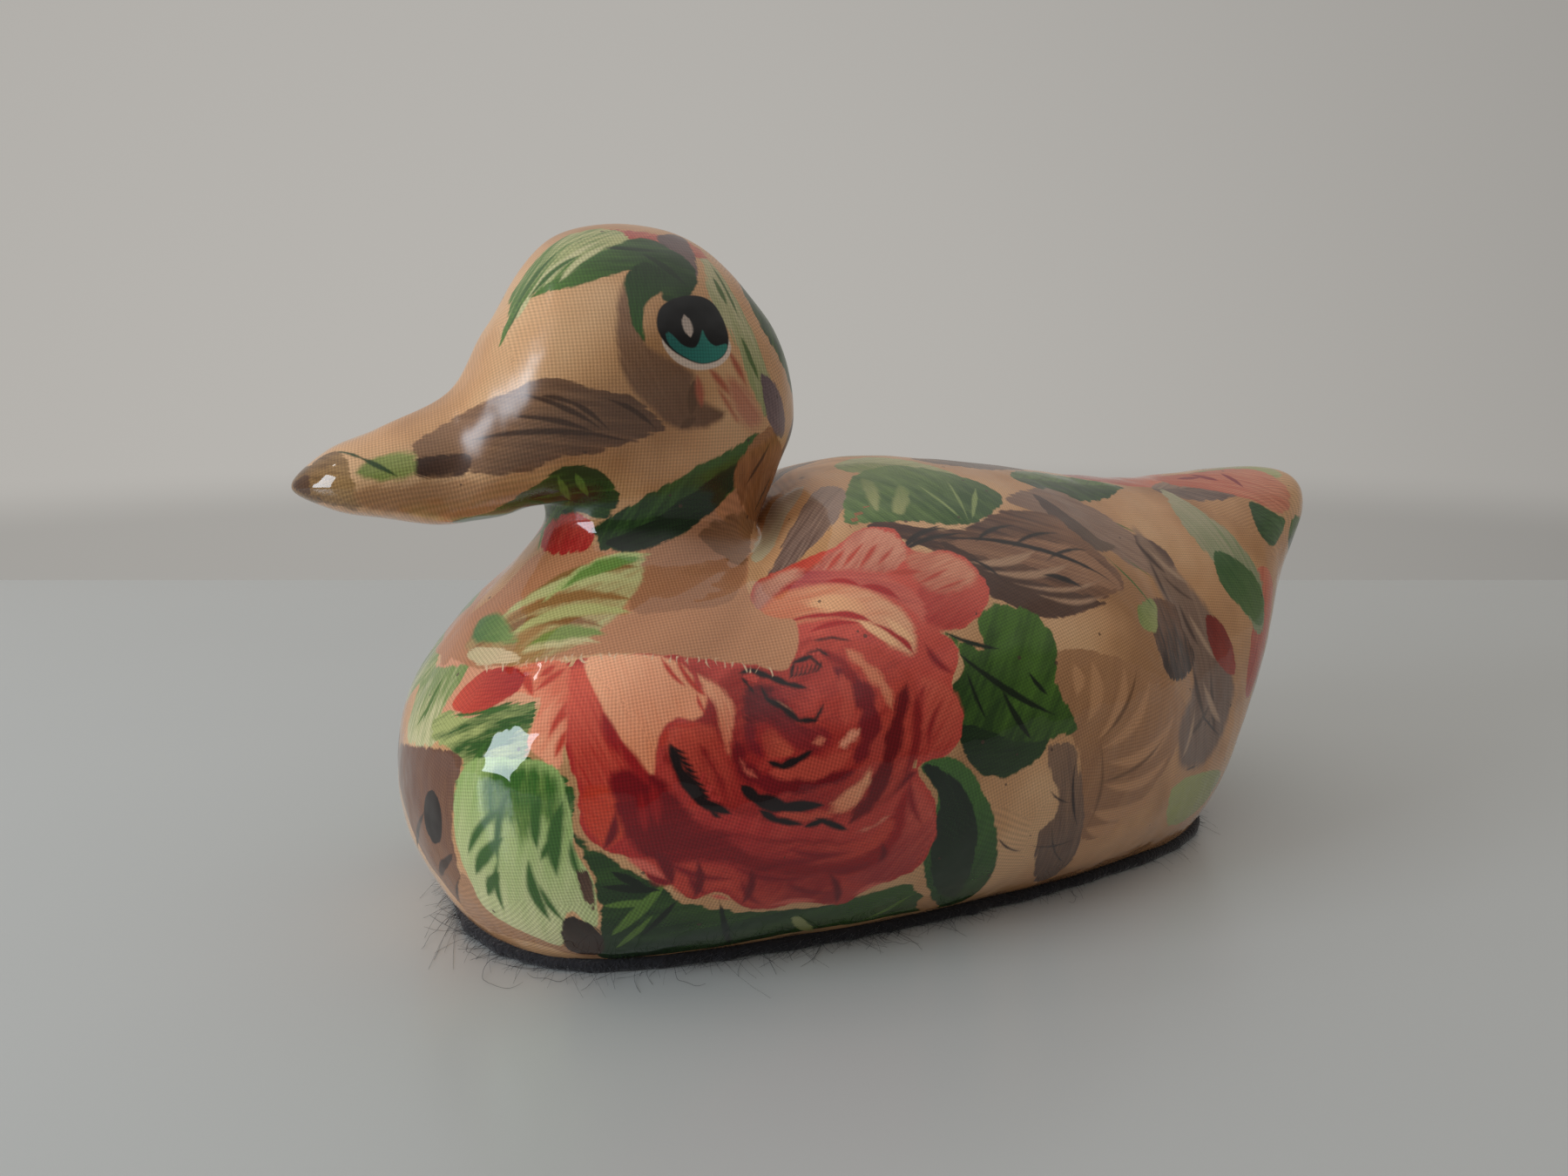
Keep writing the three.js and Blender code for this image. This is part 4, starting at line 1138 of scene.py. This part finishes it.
def wool_felt():
    """Black needled wool felt: matt, with a faint grey bloom of fibre ends."""
    material, tree, output = new_material("black_wool_felt")
    place = add(tree, "ShaderNodeTexCoord").outputs["Object"]
    mottle = noise(tree, place, 1400.0, 4.0)
    ramp = add(tree, "ShaderNodeValToRGB", {0: mottle})
    ramp.color_ramp.elements[0].color = (*to_linear(0x0E0D10), 1)
    ramp.color_ramp.elements[1].color = (*to_linear(0x302E33), 1)
    bump = add(tree, "ShaderNodeBump", {"Height": mottle, "Strength": 0.9, "Distance": 0.0005}).outputs[0]
    shader = add(tree, "ShaderNodeBsdfPrincipled", {
        "Base Color": ramp.outputs[0],
        "Roughness": 0.95,
        "Normal": bump,
        "Sheen Weight": 0.35,
        "Sheen Roughness": 0.4,
    })
    tree.links.new(shader.outputs[0], output.inputs[0])
    return material


def pad_outline(count):
    """The CAD pad's edge, evenly spaced by angle about its centre, in metres."""
    places, _ = vertex_arrays(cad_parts["felt_pad"])
    edge = places[:, :2]
    angle = np.arctan2(edge[:, 1], edge[:, 0])
    order = np.argsort(angle)
    radius = np.hypot(edge[:, 0], edge[:, 1])[order]
    turn = np.linspace(-np.pi, np.pi, count, endpoint=False)
    reach = np.interp(turn, angle[order], radius, period=2 * np.pi)
    return np.stack([reach * np.cos(turn), reach * np.sin(turn)], axis=-1), turn


def felt_mesh():
    """The pad: the CAD outline with a rounded, ragged cut edge."""
    count = PAD_POINTS
    outline, _ = pad_outline(count)
    ragged = np.column_stack([outline, np.zeros(count)])
    rough = 0.30 * MM * ripple(ragged, 5 * MM, 21) + 0.12 * MM * ripple(ragged, 1.6 * MM, 22)
    outward = outline / np.linalg.norm(outline, axis=1)[:, None]
    thick = PAD_TOP * MM
    # Each ring's distance out from the CAD edge in mm, and its height as a share of the thickness
    profile = [(-30, 0.0), (-12, 0.0), (-3, 0.0), (-0.5, 0.02), (0.0, 0.2), (0.15, 0.5), (0.0, 0.8),
               (-0.4, 1.0), (-3, 1.0), (-12, 1.0), (-30, 1.0)]
    rows = []
    for inset, up in profile:
        out = outline + outward * (inset * MM + rough * (1 if inset > -2 else 0))[:, None]
        rows.append(np.column_stack([out, np.full(count, up * thick)]))
    vertices = np.vstack(rows)
    faces = []
    for r in range(len(rows) - 1):
        for j in range(count):
            k = (j + 1) % count
            faces.append((r * count + j, r * count + k, (r + 1) * count + k, (r + 1) * count + j))
    faces.append(tuple(range(count - 1, -1, -1)))
    faces.append(tuple(range((len(rows) - 1) * count, len(rows) * count)))
    return new_mesh_object("black_felt_pad", vertices, faces)


def fibre(path, radius):
    """A thin three-sided tube along a path, as vertices and faces."""
    path = np.array(path)
    ways = np.gradient(path, axis=0)
    ways /= np.linalg.norm(ways, axis=1)[:, None] + 1e-12
    side = np.cross(ways, (0.0, 0.0, 1.0))
    side /= np.linalg.norm(side, axis=1)[:, None] + 1e-12
    over = np.cross(side, ways)
    taper = np.linspace(1.0, 0.45, len(path)) * radius
    rings = []
    for angle in (0, 2.094, 4.189):
        rings.append(path + (side * math.cos(angle) + over * math.sin(angle)) * taper[:, None])
    vertices = np.stack(rings, axis=1).reshape(-1, 3)
    faces = []
    for i in range(len(path) - 1):
        for j in range(3):
            k = (j + 1) % 3
            faces.append((3 * i + j, 3 * i + k, 3 * i + 3 + k, 3 * i + 3 + j))
    faces.append((2, 1, 0))
    end = 3 * (len(path) - 1)
    faces.append((end, end + 1, end + 2))
    return vertices, faces


def felt_fuzz(settings):
    """Short fibres round the pad's cut edge, and a few long loose hairs lying on the table."""
    rng = np.random.default_rng(settings.seed)
    outline, turn = pad_outline(FIBRE_STARTS)
    vertices = []
    faces = []

    def lay(path, radius):
        more, sides = fibre(path, radius)
        start = sum(len(v) for v in vertices)
        vertices.append(more)
        faces.extend([tuple(start + i for i in f) for f in sides])

    front_left = math.atan2(-0.75, 0.35)
    for _ in range(settings.fibres):
        pick = int(rng.integers(FIBRE_STARTS))
        nearness = math.cos(turn[pick] - front_left)
        if rng.uniform() > 0.45 + 0.55 * max(nearness, 0):
            continue
        out = outline[pick] / np.linalg.norm(outline[pick])
        level = np.array([-out[1], out[0]])
        length = rng.gamma(2.2, 0.55) * MM * settings.fibre_length * (1 + 0.8 * max(nearness, 0))
        skew = rng.normal(0, 0.9)
        curl = rng.normal(0, 0.9)
        base_z = rng.uniform(0.15, 0.95) * PAD_TOP * MM
        path = []
        for t in np.linspace(0, 1, 6):
            go = out * t * length + level * (skew * t + curl * t * t) * length * 0.8
            z = base_z + rng.normal(0, 0.05) * MM - t * t * length * 0.25
            path.append((*(outline[pick] + go - out * 0.25 * MM), max(z, 0.06 * MM)))
        lay(path, 0.035 * MM * rng.uniform(0.7, 1.5))
    for angle, length, curl in (
        (-1.30, 17, 1.9), (-1.12, 12, -1.2), (-1.52, 13, 1.1), (-0.95, 10, 2.4), (-1.85, 11, -1.6),
        (-1.40, 9, 3.0), (-0.35, 8, 1.4), (2.2, 9, 2.0), (0.6, 7, -2.0),
    ):
        pick = int(np.argmin(np.abs(turn - angle)))
        heading = angle + 0.2
        spot = outline[pick] - outline[pick] / np.linalg.norm(outline[pick]) * 0.3 * MM
        path = []
        for i in range(22):
            path.append((*spot, (0.9 * math.exp(-i / 4) + 0.12 + 0.5 * math.sin(i * 0.35) ** 2) * MM))
            heading += curl / 22 + rng.normal(0, 0.12)
            spot = spot + np.array([math.cos(heading), math.sin(heading)]) * length / 22 * MM
        lay(path, 0.05 * MM)
    return new_mesh_object("felt_fuzz", np.vstack(vertices), faces)


def dress(piece, material, body="root"):
    """Gives a piece its material, and lets it ride on the frame."""
    piece.data.materials.append(material)
    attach(piece, body)


class DuckPrintSettings(bpy.types.PropertyGroup):
    """The printed skin and its lacquer."""

    ground: FloatVectorProperty(name="Ground", description="Colour of the unprinted cotton", subtype="COLOR",
                                default=to_linear(TAN), min=0, max=1)
    thread_pitch: FloatProperty(name="Thread pitch", description="Distance between threads in millimetres",
                                default=0.55, min=0.2, max=2.0)
    ring_step: FloatProperty(name="Ring step", description="Distance between rings in millimetres",
                             default=1.0, min=0.7, max=6.0)
    points_around: IntProperty(name="Points around", description="Points round one ring of the mesh",
                               default=216, min=24, max=400)
    unevenness: FloatProperty(name="Unevenness", description="Depth of the skin's unevenness",
                              default=0.25 * MM, min=0, max=0.002, unit="LENGTH")
    patch_size: FloatProperty(name="Patch size", description="Reach of one pasted patch", default=0.034,
                              min=0.01, max=0.2, unit="LENGTH")


class DuckFeltSettings(bpy.types.PropertyGroup):
    """The felt pad's loose fibres."""

    fibres: IntProperty(name="Fibres", description="Short fibres round the edge", default=2600, min=0,
                        max=6000)
    fibre_length: FloatProperty(name="Fibre length", description="Typical fibre length in millimetres",
                                default=1.0, min=0.1, max=5.0)
    seed: IntProperty(name="Seed", description="Seed of the fibres' places", default=5, min=0)


class DuckStageSettings(bpy.types.PropertyGroup):
    """The wall, the table and the lights."""

    wall: FloatVectorProperty(name="Wall", description="Colour behind and around the table", subtype="COLOR",
                              default=to_linear(0xB8B5B0), min=0, max=1)
    table: FloatVectorProperty(name="Table", description="Colour of the table top", subtype="COLOR",
                               default=to_linear(0xBFC0BE), min=0, max=1)
    ceiling: FloatVectorProperty(name="Ceiling", description="Light of the room's ceiling", subtype="COLOR",
                                 default=(0.76, 0.745, 0.72), min=0, soft_max=2)
    window: FloatProperty(name="Window", description="Power of the window light", default=5.0, min=0,
                          unit="POWER")
    lamp: FloatProperty(name="Lamp", description="Power of the lamp", default=0.13, min=0, unit="POWER")


class DUCK_OT_body(bpy.types.Operator):
    """Build the printed, lacquered duck"""

    bl_idname = "duck.body"
    bl_label = "Printed duck"

    def execute(self, context):
        settings = context.scene.duck_print
        piece = carved_duck(settings.ring_step, settings.points_around, settings.unevenness)
        printed_layers(piece)
        pasted_patches(piece, settings.patch_size)
        dress(piece, lacquered_cotton(settings))
        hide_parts("duck_body")
        return {"FINISHED"}


class DUCK_OT_felt(bpy.types.Operator):
    """Build the felt pad and its loose fibres"""

    bl_idname = "duck.felt"
    bl_label = "Felt pad"

    def execute(self, context):
        felt = wool_felt()
        pad = felt_mesh()
        dress(pad, felt)
        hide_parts("felt_pad")
        fuzz = felt_fuzz(context.scene.duck_felt)
        dress(fuzz, felt)
        outline, _ = pad_outline(FIBRE_STARTS)
        return {"FINISHED"}


class DUCK_OT_stage(bpy.types.Operator):
    """Build the table, the lights and the camera"""

    bl_idname = "duck.stage"
    bl_label = "Stage"

    def execute(self, context):
        settings = context.scene.duck_stage
        table_top(settings)
        soft_lights(settings)
        photograph_camera()
        return {"FINISHED"}


def table_top(settings):
    """A pale laminate table top whose back edge stands where the photograph's does."""
    far = Vector((CAMERA_AIM.x, CAMERA_AIM.y, 0)).normalized()
    across = Vector((-far.y, far.x, 0))
    foot = Vector((CAMERA_PLACE.x, CAMERA_PLACE.y, 0))
    back = foot + far * TABLE_BACK
    front = foot - far * TABLE_FRONT
    aside = across * TABLE_HALF_WIDTH
    corners = [back - aside, back + aside, front + aside, front - aside]
    top = [tuple(c) for c in corners]
    under = [(c.x, c.y, -TABLE_THICKNESS) for c in corners]
    faces = [(0, 3, 2, 1), (4, 5, 6, 7)] + [(i, (i + 1) % 4, (i + 1) % 4 + 4, i + 4) for i in range(4)]
    piece = new_mesh_object("table_top", top + under, faces)
    piece.data.shade_flat()
    # Satin melamine laminate: a faint blurred reflection
    material, tree, output = new_material("pale_laminate")
    place = add(tree, "ShaderNodeTexCoord").outputs["Object"]
    cloud = noise(tree, place, 6.0, 2.0)
    shade = add(tree, "ShaderNodeMapRange", {"Value": cloud, "To Min": 0.97, "To Max": 1.03}).outputs[0]
    tint = add(tree, "ShaderNodeHueSaturation", {"Color": (*settings.table, 1), "Value": shade}).outputs[0]
    shader = add(tree, "ShaderNodeBsdfPrincipled", {"Base Color": tint, "Roughness": 0.28, "IOR": 1.45})
    tree.links.new(shader.outputs[0], output.inputs[0])
    piece.data.materials.append(material)
    return piece


def area_light(name, place, size, power, colour):
    """A rectangular soft light aimed at the duck."""
    data = bpy.data.lights.new(name, "AREA")
    data.shape = "RECTANGLE"
    data.size, data.size_y = size
    data.energy = power
    data.color = colour
    light = bpy.data.objects.new(name, data)
    light.location = place
    light.rotation_euler = (Vector((0, 0, 0.05)) - Vector(place)).to_track_quat("-Z", "Y").to_euler()
    bpy.context.scene.collection.objects.link(light)


def soft_lights(settings):
    """A low window, a lamp above it, and a room with a lit wall, a bright ceiling, a dim near side and a
    painted shadow along the wall's foot.
    """
    window_way = Vector((0.05, -0.96, 0.30))
    lamp_way = Vector((-0.30, -0.64, 0.70))
    area_light("window", window_way * 0.95, (0.34, 0.46), settings.window, (0.80, 0.90, 1.0))
    area_light("lamp", lamp_way * 1.2, (0.07, 0.06), settings.lamp, (1.0, 0.98, 0.95))
    world = bpy.data.worlds.new("room")
    world.use_nodes = True
    tree = world.node_tree
    tree.nodes.clear()
    way = add(tree, "ShaderNodeTexCoord").outputs["Generated"]
    lit_way = (CAMERA_AIM - 0.3 * CAMERA_AIM.cross(Vector((0, 0, 1)))).normalized()
    facing = add(tree, "ShaderNodeVectorMath", {0: way, 1: lit_way}, operation="DOT_PRODUCT").outputs["Value"]
    share = add(tree, "ShaderNodeMapRange", {"Value": facing, "From Min": -1.0, "From Max": 1.0}).outputs[0]
    wall = add(tree, "ShaderNodeValToRGB", {0: share})
    ramp = wall.color_ramp
    ramp.elements[0].color = (*[0.28 * part for part in settings.wall], 1)
    ramp.elements[1].color = (*settings.wall, 1)
    for place, light in ((0.5, 0.40), (0.80, 0.76), (0.93, 0.93)):
        ramp.elements.new(place).color = (*[light * part for part in settings.wall], 1)
    up = add(tree, "ShaderNodeSeparateXYZ", {0: way}).outputs[2]
    # Painted shadow: the wall is darkened along its foot, just above the table's back edge
    wall_foot_shadow = smooth_step(tree, up, -0.138, -0.095, 0.80, 1.0)
    shaded_wall = add(tree, "ShaderNodeHueSaturation", {"Color": wall.outputs[0], "Value": wall_foot_shadow})
    overhead = smooth_step(tree, up, 0.25, 0.95)
    room = mixed_colour(tree, overhead, shaded_wall.outputs[0], (*settings.ceiling, 1))
    back = add(tree, "ShaderNodeBackground", {"Color": room})
    add(tree, "ShaderNodeOutputWorld", {0: back.outputs[0]})
    bpy.context.scene.world = world


def photograph_camera():
    """The camera of the photograph."""
    data = bpy.data.cameras.new("photograph")
    data.sensor_width = SENSOR_WIDTH
    data.lens = LENS
    data.clip_start = 0.01
    camera = bpy.data.objects.new("photograph", data)
    camera.location = CAMERA_PLACE
    camera.rotation_euler = CAMERA_AIM.to_track_quat("-Z", "Y").to_euler()
    bpy.context.scene.collection.objects.link(camera)
    bpy.context.scene.camera = camera
    bpy.context.scene.view_settings.view_transform = "Standard"


class DUCK_PT_panel(bpy.types.Panel):
    """The duck's operators in the sidebar"""

    bl_label = "Duck"
    bl_idname = "DUCK_PT_panel"
    bl_space_type = "VIEW_3D"
    bl_region_type = "UI"
    bl_category = "Duck"

    def draw(self, context):
        for group in (context.scene.duck_print, context.scene.duck_felt, context.scene.duck_stage):
            box = self.layout.box()
            for name in group.__annotations__:
                box.prop(group, name)
        for operator in (DUCK_OT_body, DUCK_OT_felt, DUCK_OT_stage):
            self.layout.operator(operator.bl_idname)


CLASSES = (DuckPrintSettings, DuckFeltSettings, DuckStageSettings, DUCK_OT_body, DUCK_OT_felt, DUCK_OT_stage,
           DUCK_PT_panel)


def register():
    """Registers the classes and their settings."""
    for cls in CLASSES:
        bpy.utils.register_class(cls)
    bpy.types.Scene.duck_print = PointerProperty(type=DuckPrintSettings)
    bpy.types.Scene.duck_felt = PointerProperty(type=DuckFeltSettings)
    bpy.types.Scene.duck_stage = PointerProperty(type=DuckStageSettings)


def unregister():
    """Takes the classes and their settings away."""
    del bpy.types.Scene.duck_stage
    del bpy.types.Scene.duck_felt
    del bpy.types.Scene.duck_print
    for cls in reversed(CLASSES):
        bpy.utils.unregister_class(cls)


def main():
    """Builds everything in order."""
    register()
    bpy.ops.duck.body()
    bpy.ops.duck.felt()
    bpy.ops.duck.stage()


if __name__ == "__main__":
    main()
